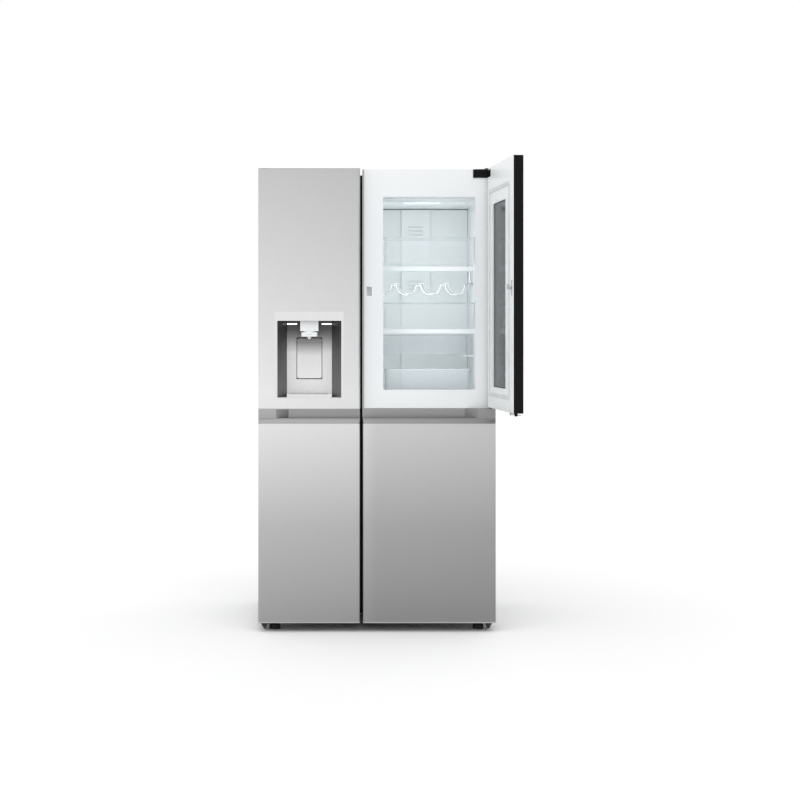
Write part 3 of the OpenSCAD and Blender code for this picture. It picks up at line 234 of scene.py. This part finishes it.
def moulded(name, colour, roughness=0.3, grain=500.0, relief=0.008 * MM):
    """Moulded plastic: a fine even texture, a very little unevenness in tone and gloss."""
    plastic = Surface(name, colour, roughness)
    plastic.vary_colour(plastic.noise(1.2, detail=1.0), spread=0.002)
    plastic.vary_roughness(plastic.noise(1.5, detail=1.0), roughness - 0.006, roughness + 0.006)
    plastic.bump(plastic.noise(grain, detail=2.0), relief, strength=0.4)
    return plastic


def black(name, roughness, gloss):
    """Black moulding with little gloss of its own."""
    dark = moulded(name, (0.003, 0.003, 0.0035), roughness)
    dark.set("Specular IOR Level", gloss)
    return dark


def clear_plastic(name, colour, alpha, ior=1.5):
    """Clear styrene: see-through faces, a faint flow in its gloss."""
    clear = moulded(name, colour, roughness=0.12, grain=40.0, relief=0.02 * MM)
    clear.set("Alpha", alpha)
    clear.set("IOR", ior)
    return clear


def rubber(name, colour):
    """Matt rubber with a fine rough skin."""
    soft = Surface(name, colour, roughness=0.65)
    soft.vary_colour(soft.noise(30.0, detail=3.0), spread=0.06)
    soft.bump(soft.noise(700.0, detail=2.0), distance=0.05 * MM, strength=0.6)
    return soft


def foam(name, colour):
    """Blown foam: coarse cells in tone and relief."""
    cells = Surface(name, colour, roughness=0.9)
    cells.vary_colour(cells.noise(25.0, detail=5.0), spread=0.12)
    cells.bump(cells.noise(260.0, detail=4.0), distance=0.6 * MM, strength=0.7)
    return cells


def glow(name, colour, strength):
    """A lamp's lens that shines a little itself."""
    lens = moulded(name, colour, roughness=0.4)
    lens.set("Emission Color", (*colour, 1.0))
    lens.set("Emission Strength", strength)
    return lens


def tinted_glass(name, colour, gloss):
    """Dark glass: a coloured layer behind a polished, very slightly wavy face."""
    glass = moulded(name, colour, roughness=0.05, grain=3.0, relief=0.02 * MM)
    glass.set("Specular IOR Level", gloss)
    return glass


def door_liner(name, colour, cap):
    """White liner plastic with darker end caps along the bottom and the top of its door."""
    liner = moulded(name, colour)
    bottom, top, cap_height, edge = 0.035, 1.780, 4.1 * MM, 0.5 * MM
    low_cap, high_cap = bottom + cap_height, top - cap_height
    stops = ((bottom, cap), (low_cap, cap), (low_cap + edge, colour),
             (high_cap - edge, colour), (high_cap, cap), (top, cap))
    liner.link(liner.ramp(liner.axis("Z"), stops), liner.shader.inputs["Base Color"])
    return liner


def dispenser_cavity(name):
    """Dark side walls round a light metallic back and ledge, both with painted shade that darkens them towards the
    spout at the top.
    """
    shell = Surface(name, (0.4, 0.4, 0.4), roughness=0.35)
    sideways = shell.node("ShaderNodeMath", operation="ABSOLUTE")
    shell.link(shell.normal_axis("X"), sideways.inputs[0])
    is_wall = shell.ranged(sideways.outputs[0], 0.0, 1.0, at=(0.3, 0.5))
    height = shell.axis("Z")
    # The height ramps are painted shade: darker towards the ceiling and the chute at the top of the cavity
    tone = shell.mixed(is_wall, shell.ramp(height, CAVITY_BACK_PAINTED_SHADOW), shell.ramp(height, CAVITY_WALL_PAINTED_SHADE))
    grain = shell.ramp(shell.noise(140.0, detail=3.0), ((0.3, 0.95), (0.7, 1.0)))
    shell.link(shell.times(tone, grain), shell.shader.inputs["Base Color"])
    shell.bump(shell.noise(400.0, detail=2.0), distance=0.04 * MM, strength=0.5)
    return shell


WHITE = (0.82, 0.84, 0.85)
MID_GREY = (0.5, 0.5, 0.5)
# Painted light along the height (Z) or the width (X) of a surface, as (metres, grey) stops: painted highlight and
# reflection on the doors, painted shade on the grip, the paddle and in the dispenser cavity
DOOR_PAINTED_LIGHT = ((0.03, 0.345), (0.40, 0.475), (0.78, 0.74), (0.92, 0.79), (1.78, 0.55))
GRIP_PAINTED_SHADE = ((0.800, 0.35), (0.820, 0.35), (0.822, 0.38), (0.858, 0.43))
PADDLE_PAINTED_SHADE = ((0.97, 0.78), (1.06, 0.70), (1.11, 0.24), (1.14, 0.16))
SIDE_PAINTED_LIGHT = ((-0.46, 1.0), (-0.08, 0.93), (0.0, 0.78), (0.46, 0.72))
CAVITY_WALL_PAINTED_SHADE = ((0.90, 0.13), (1.05, 0.085), (1.195, 0.025))
CAVITY_BACK_PAINTED_SHADOW = ((0.90, 0.80), (1.07, 0.74), (1.13, 0.24), (1.16, 0.09), (1.19, 0.05))
MATERIALS = {
    "side_sheet": painted("side_sheet", (0.40, 0.41, 0.42)),
    # The door steel carries painted light: a painted highlight high on the doors, a painted floor reflection lower
    # down, brighter on the left door
    "stainless": steel_with_painted_light("stainless", DOOR_PAINTED_LIGHT, SIDE_PAINTED_LIGHT),
    "liner_white": moulded("liner_white", WHITE, roughness=0.28),
    "door_liner": door_liner("door_liner", WHITE, (0.22, 0.22, 0.225)),
    "foam": foam("foam", (0.72, 0.62, 0.38)),
    "chassis": painted("chassis", (0.02, 0.02, 0.022)),
    "cover_grey": moulded("cover_grey", (0.12, 0.125, 0.13), 0.5, grain=700.0, relief=0.12 * MM),
    "machine_black": painted("machine_black", (0.012, 0.012, 0.014), roughness=0.25),
    "motor_plastic": moulded("motor_plastic", (0.03, 0.03, 0.033), roughness=0.45),
    "copper": brushed_steel("copper", (0.72, 0.36, 0.20), 0.3, NO_GRAIN),
    "coil_aluminium": brushed_steel("coil_aluminium", (0.78, 0.79, 0.81), 0.38, NO_GRAIN),
    "duct_white": moulded("duct_white", (0.74, 0.77, 0.77), roughness=0.4),
    "hinge_steel": brushed_steel("hinge_steel", (0.42, 0.43, 0.44), 0.42, NO_GRAIN),
    "shelf_glass": clear_plastic("shelf_glass", (0.75, 0.88, 0.86), alpha=0.25),
    "trim_white": moulded("trim_white", WHITE),
    "chrome_wire": brushed_steel("chrome_wire", (0.70, 0.71, 0.73), 0.14, NO_GRAIN),
    "lamp_lens": glow("lamp_lens", (0.80, 0.84, 0.87), strength=0.08),
    "clear_plastic": clear_plastic("clear_plastic", (0.80, 0.87, 0.90), alpha=0.13),
    "rubber_black": rubber("rubber_black", (0.006, 0.006, 0.006)),
    "seal_grey": rubber("seal_grey", (0.66, 0.67, 0.68)),
    # Painted shade in the handle recess, darker below along the lip, with the same painted light from side to side
    "handle_steel": steel_with_painted_light("handle_steel", GRIP_PAINTED_SHADE, SIDE_PAINTED_LIGHT, 0.4, SIDEWAYS),
    "bezel_steel": brushed_steel("bezel_steel", (0.745, 0.745, 0.745), roughness=0.3),
    # Painted shade on the paddle, darker towards its top under the cavity's ceiling
    "paddle_steel_painted_shade": steel_with_painted_light("paddle_steel_painted_shade", PADDLE_PAINTED_SHADE, roughness=0.3),
    "grille_steel": brushed_steel("grille_steel", (0.45, 0.45, 0.45), 0.4, NO_GRAIN),
    # Painted shadow and shade in the dispenser cavity, darker towards its top
    "dispenser_grey": dispenser_cavity("dispenser_grey"),
    "black_plastic": black("black_plastic", roughness=0.3, gloss=0.12),
    "window_glass": clear_plastic("window_glass", (0.065, 0.067, 0.070), alpha=0.84, ior=1.2),
    "front_glass": tinted_glass("front_glass", (0.006, 0.006, 0.007), gloss=0.35),
    "rim_plastic": clear_plastic("rim_plastic", (0.80, 0.86, 0.88), alpha=0.35),
    "dispenser_lamp": glow("dispenser_lamp", (1.0, 1.0, 1.0), strength=2.0),
}
# The CAD pieces that take a finish of their own within their slot
NODE_FINISH = {
    "dispenser_lever": "paddle_steel_painted_shade",
    "dispenser_panel": "bezel_steel",
    "freezer_door_liner": "door_liner",
    "fridge_door_liner": "door_liner",
}
# How far the edges of a CAD piece are rounded for its looks
EDGE_ROUNDS = {
    "top_covers": 2.0 * MM,
    "door_frame": 1.2 * MM,
    "door_hinges": 0.8 * MM,
    "dispenser_lever": 0.8 * MM,
    "dispenser_panel": 0.8 * MM,
    "ice_chute": 0.8 * MM,
    "shelf_trims": 1.2 * MM,
    "outer_door_frame": 0.8 * MM,
    "outer_door_liner": 1.0 * MM,
    "outer_door_hinges": 0.8 * MM,
    "outer_door_gasket": 1.0 * MM,
    "freezer_handle": 0.6 * MM,
    "fridge_handle": 0.6 * MM,
    "machine_cover": 0.5 * MM,
    "drip_pan": 0.5 * MM,
    "ice_maker": 1.0 * MM,
    "ice_tray": 0.4 * MM,
    "water_valve": 0.8 * MM,
    "drawer_runners": 0.8 * MM,
    "release_lever": 0.4 * MM,
    "base_frame": 0.5 * MM,
}


def paint_nodes():
    """Gives every carried-over CAD piece the material of its slot."""
    for part in frame["record"]["subparts"]:
        mesh = NODES[part["node"]].data
        mesh.materials.clear()
        finish = NODE_FINISH.get(part["node"], part["material_slot"])
        mesh.materials.append(MATERIALS[finish].material)


def soften_edges():
    """Rounds the sharp edges of the CAD pieces that show them."""
    for node, width in EDGE_ROUNDS.items():
        bevel = NODES[node].modifiers.new("edges", "BEVEL")
        bevel.width = width
        bevel.segments = 2
        bevel.limit_method = "ANGLE"
        bevel.angle_limit = math.radians(35)
        bevel.harden_normals = True


# ---- Mesh helpers --------------------------------------------------------------------

def piece(name, points, faces, slot, body, smooth=False):
    """A new mesh object with its material slot, riding on a CAD body."""
    mesh = bpy.data.meshes.new(name)
    mesh.from_pydata([tuple(p) for p in points], [], faces)
    mesh.validate()
    mesh.materials.append(MATERIALS[slot].material)
    mesh.polygons.foreach_set("use_smooth", [smooth] * len(mesh.polygons))
    made = bpy.data.objects.new(name, mesh)
    bpy.context.scene.collection.objects.link(made)
    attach(made, body)
    return made


def merged(parts):
    """Several (points, faces) pairs as one."""
    points, faces = [], []
    for part_points, part_faces in parts:
        first = len(points)
        points += part_points
        faces += [tuple(i + first for i in face) for face in part_faces]
    return points, faces


def block(low, high):
    """The points and faces of a box."""
    xs, ys, zs = zip(low, high)
    points = [Vector((x, y, z)) for z in zs for y in ys for x in xs]
    faces = [(0, 2, 3, 1), (4, 5, 7, 6), (0, 1, 5, 4), (2, 6, 7, 3), (0, 4, 6, 2), (1, 3, 7, 5)]
    return points, faces


def rounded_loop(width, depth, radius, steps=6):
    """The points of a rectangle with round corners, centred on the origin, anticlockwise."""
    loop = []
    for quarter in range(4):
        cx = (width / 2 - radius) * (1, -1, -1, 1)[quarter]
        cy = (depth / 2 - radius) * (1, 1, -1, -1)[quarter]
        for i in range(steps + 1):
            a = math.pi / 2 * (quarter + i / steps)
            loop.append((cx + radius * math.cos(a), cy + radius * math.sin(a)))
    return loop


def swept_ring(loop, profile, to_world):
    """Sweeps a closed profile, given as (outward, up) pairs, round a closed loop."""
    points, faces = [], []
    count, sides = len(loop), len(profile)
    for i, (x, y) in enumerate(loop):
        before, after = loop[i - 1], loop[(i + 1) % count]
        along = Vector((after[0] - before[0], after[1] - before[1])).normalized()
        for out, up in profile:
            points.append(to_world(x + along.y * out, y - along.x * out, up))
    for i in range(count):
        for k in range(sides):
            a, b = i * sides + k, i * sides + (k + 1) % sides
            c, d = ((i + 1) % count) * sides + (k + 1) % sides, ((i + 1) % count) * sides + k
            faces.append((a, d, c, b))
    return points, faces


def rounded_slab(foot, width, depth, radius, height):
    """A slab with round upright corners and softened rims, standing on the middle of its foot."""
    rim = 1.5 * MM
    rings = ((rim, 0), (0, rim), (0, height - rim), (rim, height))
    points, faces = [], []
    for inset, up in rings:
        loop = rounded_loop(width - 2 * inset, depth - 2 * inset, radius - inset)
        points += [Vector((foot.x + x, foot.y + y, foot.z + up)) for x, y in loop]
    count = len(points) // len(rings)
    for level in range(len(rings) - 1):
        for i in range(count):
            a, b = level * count + i, level * count + (i + 1) % count
            faces.append((a, b, b + count, a + count))
    faces.append(tuple(reversed(range(count))))
    faces.append(tuple(range(len(points) - count, len(points))))
    return points, faces


def circle_profile(radius, sides=8):
    """The (outward, up) pairs of a round bar."""
    return [(radius * math.cos(2 * math.pi * k / sides), radius * math.sin(2 * math.pi * k / sides))
            for k in range(sides)]


def lathe(profile, place, axis, sides):
    """Turns (radius, height) pairs about an axis through a place, with both ends closed."""
    turn = Vector(axis).to_track_quat("Z", "Y")
    points, faces = [], []
    for radius, height in profile:
        for k in range(sides):
            a = 2 * math.pi * k / sides
            local = Vector((radius * math.cos(a), radius * math.sin(a), height))
            points.append(Vector(place) + turn @ local)
    for i in range(len(profile) - 1):
        for k in range(sides):
            n = (k + 1) % sides
            faces.append((i * sides + k, i * sides + n, (i + 1) * sides + n, (i + 1) * sides + k))
    faces.append(tuple(reversed(range(sides))))
    last = (len(profile) - 1) * sides
    faces.append(tuple(last + k for k in range(sides)))
    return points, faces


def screw_head(place, axis, radius):
    """A domed screw head with a round-cornered socket."""
    profile = ((1, 0), (1, 0.25), (0.85, 0.5), (0.55, 0.65), (0.42, 0.65), (0.36, 0.3), (0.02, 0.3))
    return lathe([(r * radius, up * radius) for r, up in profile], place, axis, sides=18)


def screw_heads(xs, ys, zs, axis, radius=4 * MM):
    """A screw head at every crossing of the given places along the three axes."""
    return [screw_head((x, y, z), axis, radius) for x in xs for y in ys for z in zs]


def opening(name):
    """A stated opening of the record, as its low and high corner."""
    for entry in frame["record"]["physics"]["openings"]:
        if entry["name"] == name:
            return Vector(entry["box_m"][0]), Vector(entry["box_m"][1])
    raise KeyError(name)


# ---- Small fittings ------------------------------------------------------------------

OUTER_JOINT = next(j for j in frame["joints"] if j["name"] == "outer_door_hinge")
OUTER_PIVOT = Vector(OUTER_JOINT["pos_m"])
OUTER_OPEN = -math.radians(OUTER_JOINT["range_deg"][0])


def outer_point(x, y, z):
    """A point of the closed outer door, moved to where the door stands open."""
    dx, dy = x - OUTER_PIVOT.x, y - OUTER_PIVOT.y
    cos, sin = math.cos(OUTER_OPEN), math.sin(OUTER_OPEN)
    return Vector((OUTER_PIVOT.x + dx * cos - dy * sin, OUTER_PIVOT.y + dx * sin + dy * cos, z))


def box_loop(low, high, radius):
    """A round-cornered loop round a box, seen from above."""
    loop = rounded_loop(high.x - low.x, high.y - low.y, radius)
    return [(x + (low.x + high.x) / 2, y + (low.y + high.y) / 2) for x, y in loop]


def drawer_loop(low, high, wall):
    """The top edge of a drawer, whose front wall is thicker than the others."""
    side, front, corner = 6.5 * MM - wall / 2, 15 * MM - wall / 2, 11 * MM
    return box_loop(low - Vector((side, front, 0)), high + Vector((side, side, 0)), corner)


def basket_loop(low, high, wall):
    """The top edge of a basket on a closed part of a door."""
    side, corner = 7 * MM - wall / 2, 13 * MM
    return box_loop(low - Vector((side, side, 0)), high + Vector((side, side, 0)), corner)


def wide_basket_loop(low, high, wall):
    """The top edge of a basket that is wider in front, where it fills the opening."""
    side, wider, wide_depth = 3 * MM - wall / 2, 10 * MM, 55 * MM
    left, right = low.x - side, high.x + side
    front, back = low.y - side, high.y + side
    step = front + wide_depth - wall
    return [(right + wider, front), (right + wider, step), (right, step), (right, back),
            (left, back), (left, step), (left - wider, step), (left - wider, front)]


DRAWERS = ("freezer_drawer_upper", "freezer_drawer_lower", "snack_drawer", "crisper_upper", "crisper_lower")
# How high each basket's rim stands over the floor of its room, from the lowest basket up
BASKET_HEIGHTS = {
    "freezer": (117 * MM, 107 * MM, 107 * MM, 107 * MM, 87 * MM),
    "fridge": (127 * MM, 107 * MM, 97 * MM, 97 * MM, 97 * MM, 95 * MM),
}
OPENING_BASKETS = ("fridge_basket_5", "fridge_basket_6")


def bin_rim(name, body, loop_of, rim_z):
    """A rolled rim along the top edge of a clear drawer or basket."""
    low, high = opening(name + "_room")
    loop = loop_of(low, high, 2.5 * MM)
    points, faces = swept_ring(loop, circle_profile(1.9 * MM), lambda x, y, up: Vector((x, y, rim_z + up)))
    piece(name + "_rim", points, faces, "rim_plastic", body, smooth=True)


def bin_rims():
    """The rims of all drawers and door baskets."""
    for name in DRAWERS:
        top = opening(name + "_room")[1].z
        bin_rim(name, name + "_body", drawer_loop, top - 2 * MM)
    for side, heights in BASKET_HEIGHTS.items():
        for number, height in enumerate(heights, 1):
            name = f"{side}_basket_{number}"
            floor = opening(name + "_room")[0].z
            loop_of = wide_basket_loop if name in OPENING_BASKETS else basket_loop
            bin_rim(name, side + "_door", loop_of, floor + height)


def bellows(depth):
    """The section of a door seal: a foot, two soft folds and the magnet strip, as tall as depth."""
    half = 9.5 * MM
    side = ((1, 0), (1, 0.15), (0.55, 0.32), (0.95, 0.52), (0.8, 0.72), (0.8, 1))
    right = [(across * half, up * depth) for across, up in side]
    left = [(-across, up) for across, up in reversed(right)]
    return right + left


def door_seals():
    """Bellows seals in place of the plain seal rings."""
    band, corner = 21 * MM, 8 * MM
    for node, body in (("freezer_gasket", "freezer_door"), ("fridge_gasket", "fridge_door")):
        low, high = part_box(node)
        x, z = (low.x + high.x) / 2, (low.z + high.z) / 2
        loop = rounded_loop(high.x - low.x - band, high.z - low.z - band, corner)
        section = bellows(high.y - low.y)
        points, faces = swept_ring(loop, section, lambda a, b, up: Vector((x + a, low.y + up, z + b)))
        seal = piece(node + "_bellows", points, faces, "seal_grey", body)
        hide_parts(node)


def dispenser_lamps():
    """Two flat lamps high on the back of the dispenser's cavity, one on each side."""
    low, high = opening("dispenser_cavity")
    back = high.y + 3 * MM
    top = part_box("dispenser_housing")[1].z - 12.5 * MM
    width, height, front = 38 * MM, 4 * MM, back - 2 * MM
    for name, x in (("left", low.x), ("right", high.x - width)):
        points, faces = block((x, front, top - height), (x + width, back - 0.2 * MM, top))
        piece("dispenser_lamp_" + name, points, faces, "dispenser_lamp", "freezer_door")


def drip_grille():
    """Thin bars between two rails, on the ledge under the spout."""
    low, high = opening("dispenser_cavity")
    ledge = low.z - 1 * MM
    count, margin, bar = 15, 14 * MM, 2 * MM
    first, last = low.x + margin, high.x - margin
    front, back = low.y + 29 * MM, high.y - 3 * MM
    bars = []
    for i in range(count):
        x = first + i * (last - first) / (count - 1)
        bars.append(block((x - bar / 2, front + bar, ledge), (x + bar / 2, back, ledge + bar)))
    for y in (front, back):
        bars.append(block((first - bar, y, ledge), (last + bar, y + bar, ledge + bar)))
    piece("drip_grille", *merged(bars), "grille_steel", "freezer_door")


def spout():
    """A collar round the foot of the ice chute, and the water nozzle under it."""
    low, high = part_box("ice_chute")
    foot = Vector(((low.x + high.x) / 2, low.y + 24 * MM, low.z - 1 * MM))
    collar = rounded_slab(foot, width=64 * MM, depth=42 * MM, radius=9 * MM, height=17 * MM)
    piece("spout_collar", *collar, "trim_white", "freezer_door")
    profile = ((9, 0), (9, 3), (6, 5), (5, 9), (3.5, 10))
    nozzle = lathe([(radius * MM, drop * MM) for radius, drop in profile], foot, (0, 0, -1), sides=20)
    piece("water_nozzle", *nozzle, "trim_white", "freezer_door", smooth=True)


def screws():
    """Screw heads on the top covers, on the back and on the lower hinge brackets."""
    up, backwards, forwards = (0, 0, 1), (0, 1, 0), (0, -1, 0)
    hinge_cover_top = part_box("top_covers")[1].z
    board_cover_top = hinge_cover_top - 2 * MM
    covers = screw_heads((-0.421, 0.421), (-0.215, -0.165), (hinge_cover_top,), up)
    covers += screw_heads((-0.095, 0.095), (0.165, 0.315), (board_cover_top,), up)
    piece("cover_screws", *merged(covers), "hinge_steel", "cabinet", smooth=True)
    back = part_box("cabinet_panels")[1].y
    rear = screw_heads((-0.435, -0.145, 0.145, 0.435), (back,), (0.062, 0.236), backwards)
    rear += screw_heads((-0.44, 0.0, 0.44), (back,), (0.262, 1.00, 1.745), backwards)
    piece("rear_screws", *merged(rear), "hinge_steel", "cabinet", smooth=True)
    bracket_front, bracket_z = -0.249, 0.041
    brackets = screw_heads((-0.385, -0.435, 0.385, 0.435), (bracket_front,), (bracket_z,), forwards, 3 * MM)
    piece("bracket_screws", *merged(brackets), "hinge_steel", "cabinet", smooth=True)


def centre_strips():
    """A black strip behind the gap between the doors, a painted shade for the dark depth of the gap, and the steel
    edge beside the gap.
    """
    sheet, clearance = 0.6 * MM, 1 * MM
    gap_low, gap_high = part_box("freezer_gasket")[1].x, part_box("fridge_gasket")[0].x
    low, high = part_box("compartment_liners")
    # Painted shade: a black sheet on the cabinet between the seals, dark as the deep gap between the doors is
    points, faces = block((gap_low + clearance, low.y - sheet, low.z + 2 * MM),
                          (gap_high - clearance, low.y, high.z))
    piece("gap_shade_strip", points, faces, "black_plastic", "cabinet")
    low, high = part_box("door_frame")
    width, inset = 7 * MM, 0.5 * MM
    points, faces = block((low.x, low.y - sheet, low.z + inset), (low.x + width, low.y, high.z - inset))
    piece("frame_edge", points, faces, "hinge_steel", "fridge_door")


def rack_clips():
    """The two black clips that hang the bottle rack under its shelf."""
    low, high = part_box("bottle_rack")
    half_width, height = 14 * MM, 9 * MM
    front, back = low.y - 2 * MM, low.y + 8 * MM
    clips = []
    for x in (low.x + 94 * MM, low.x + 300 * MM):
        clips.append(block((x - half_width, front, high.z - height), (x + half_width, back, high.z)))
    piece("rack_clips", *merged(clips), "black_plastic", "cabinet")


def liner_rails():
    """Moulded rails on the compartment walls, one under each shelf."""
    shelf_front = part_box("shelf_glass")[0].y
    front, back = shelf_front + 12 * MM, shelf_front + 340 * MM
    under_shelf, height, reach, to_wall = 6.3 * MM, 8 * MM, 7 * MM, 1.8 * MM
    rails = []
    for side, shelves in (("freezer", 5), ("fridge", 4)):
        for number in range(1, shelves + 1):
            low, high = opening(f"{side}_space_{number}")
            top = low.z - under_shelf
            left, right = low.x - to_wall, high.x + to_wall
            for start, end in ((left, left + reach), (right - reach, right)):
                rails.append(block((start, front, top - height), (end, back, top)))
    piece("liner_rails", *merged(rails), "liner_white", "cabinet")


def window_border():
    """The printed black border on the inside of the window."""
    x_low, x_high, inner_face = 0.0884, 0.3396, -0.338
    z_low, z_high = (end.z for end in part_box("outer_door_window"))
    width, sheet, corner = 5 * MM, 0.6 * MM, 4 * MM
    x, z = (x_low + x_high) / 2, (z_low + z_high) / 2
    loop = rounded_loop(x_high - x_low - width, z_high - z_low - width, corner)
    section = [(-width / 2, 0), (width / 2, 0), (width / 2, sheet), (-width / 2, sheet)]
    points, faces = swept_ring(loop, section,
                               lambda a, b, up: outer_point(x + a, inner_face + up, z + b))
    piece("window_border", points, faces, "black_plastic", "outer_door")


def hinge_leaf():
    """The flat black leaf of the upper hinge on the inside of the outer door."""
    width, height, sheet, inner_face = 61.5 * MM, 28 * MM, 0.4 * MM, -0.332
    right = OUTER_PIVOT.x + 0.5 * MM
    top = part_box("outer_door_hinges")[1].z - 6 * MM
    points, faces = block((right - width, inner_face, top - height), (right, inner_face + sheet, top))
    points = [outer_point(*point) for point in points]
    piece("hinge_leaf", points, faces, "black_plastic", "outer_door")


# ---- Stage ---------------------------------------------------------------------------

COOL_WHITE = (0.95, 0.975, 1.0)
# Lamps inside the compartments, facing the back: place, width and height, power
LAMPS = {
    "opening_lamp": ((0.203, -0.300, 1.30), (0.34, 0.70), 0.55),
    "fridge_lamp_high": ((0.185, -0.100, 1.32), (0.40, 0.66), 1.05),
    "fridge_lamp_low": ((0.185, -0.100, 0.50), (0.36, 0.70), 1.0),
    "freezer_lamp": ((-0.240, -0.100, 0.90), (0.26, 1.40), 1.6),
}


def inner_lamp(name, place, size, power):
    """A rectangular lamp that shines towards the back."""
    data = bpy.data.lights.new(name, "AREA")
    data.shape = "RECTANGLE"
    data.size, data.size_y = size
    data.energy = power
    data.color = COOL_WHITE
    light = bpy.data.objects.new(name, data)
    light.location = place
    light.rotation_euler = Vector((0, 1, 0)).to_track_quat("-Z", "Y").to_euler()
    bpy.context.scene.collection.objects.link(light)


def sky_panel(strength):
    """One very soft distant light from high in front, the same on the whole floor."""
    data = bpy.data.lights.new("overhead", "SUN")
    data.energy = strength
    data.angle = math.radians(60)
    tilt, turn = math.radians(35), math.radians(-12)
    light = bpy.data.objects.new("overhead", data)
    light.rotation_euler = (tilt, 0, turn)
    bpy.context.scene.collection.objects.link(light)


def make_floor():
    """The wide pale floor that the refrigerator stands on."""
    mesh = bpy.data.meshes.new("floor")
    reach = 40.0
    corners = [(-reach, -reach, 0), (reach, -reach, 0), (reach, reach, 0), (-reach, reach, 0)]
    mesh.from_pydata(corners, [], [(0, 1, 2, 3)])
    floor = bpy.data.objects.new("floor", mesh)
    bpy.context.scene.collection.objects.link(floor)
    pale = Surface("floor_pale", (0.90, 0.90, 0.90), roughness=0.8)
    pale.vary_colour(pale.noise(0.8, detail=2.0), spread=0.01)
    mesh.materials.append(pale.material)


def make_lights():
    """White surroundings, one soft distant light and the lamps in the compartments."""
    world = bpy.data.worlds.new("studio")
    world.use_nodes = True
    background = world.node_tree.nodes["Background"]
    background.inputs["Color"].default_value = (1, 1, 1, 1)
    background.inputs["Strength"].default_value = 1.0
    bpy.context.scene.world = world
    sky_panel(strength=0.7)
    for name, (place, size, power) in LAMPS.items():
        inner_lamp(name, place, size, power)
    bpy.context.scene.view_settings.view_transform = "Standard"


make_camera()
paint_nodes()
soften_edges()
bin_rims()
door_seals()
dispenser_lamps()
drip_grille()
spout()
screws()
centre_strips()
rack_clips()
liner_rails()
window_border()
hinge_leaf()
make_floor()
make_lights()
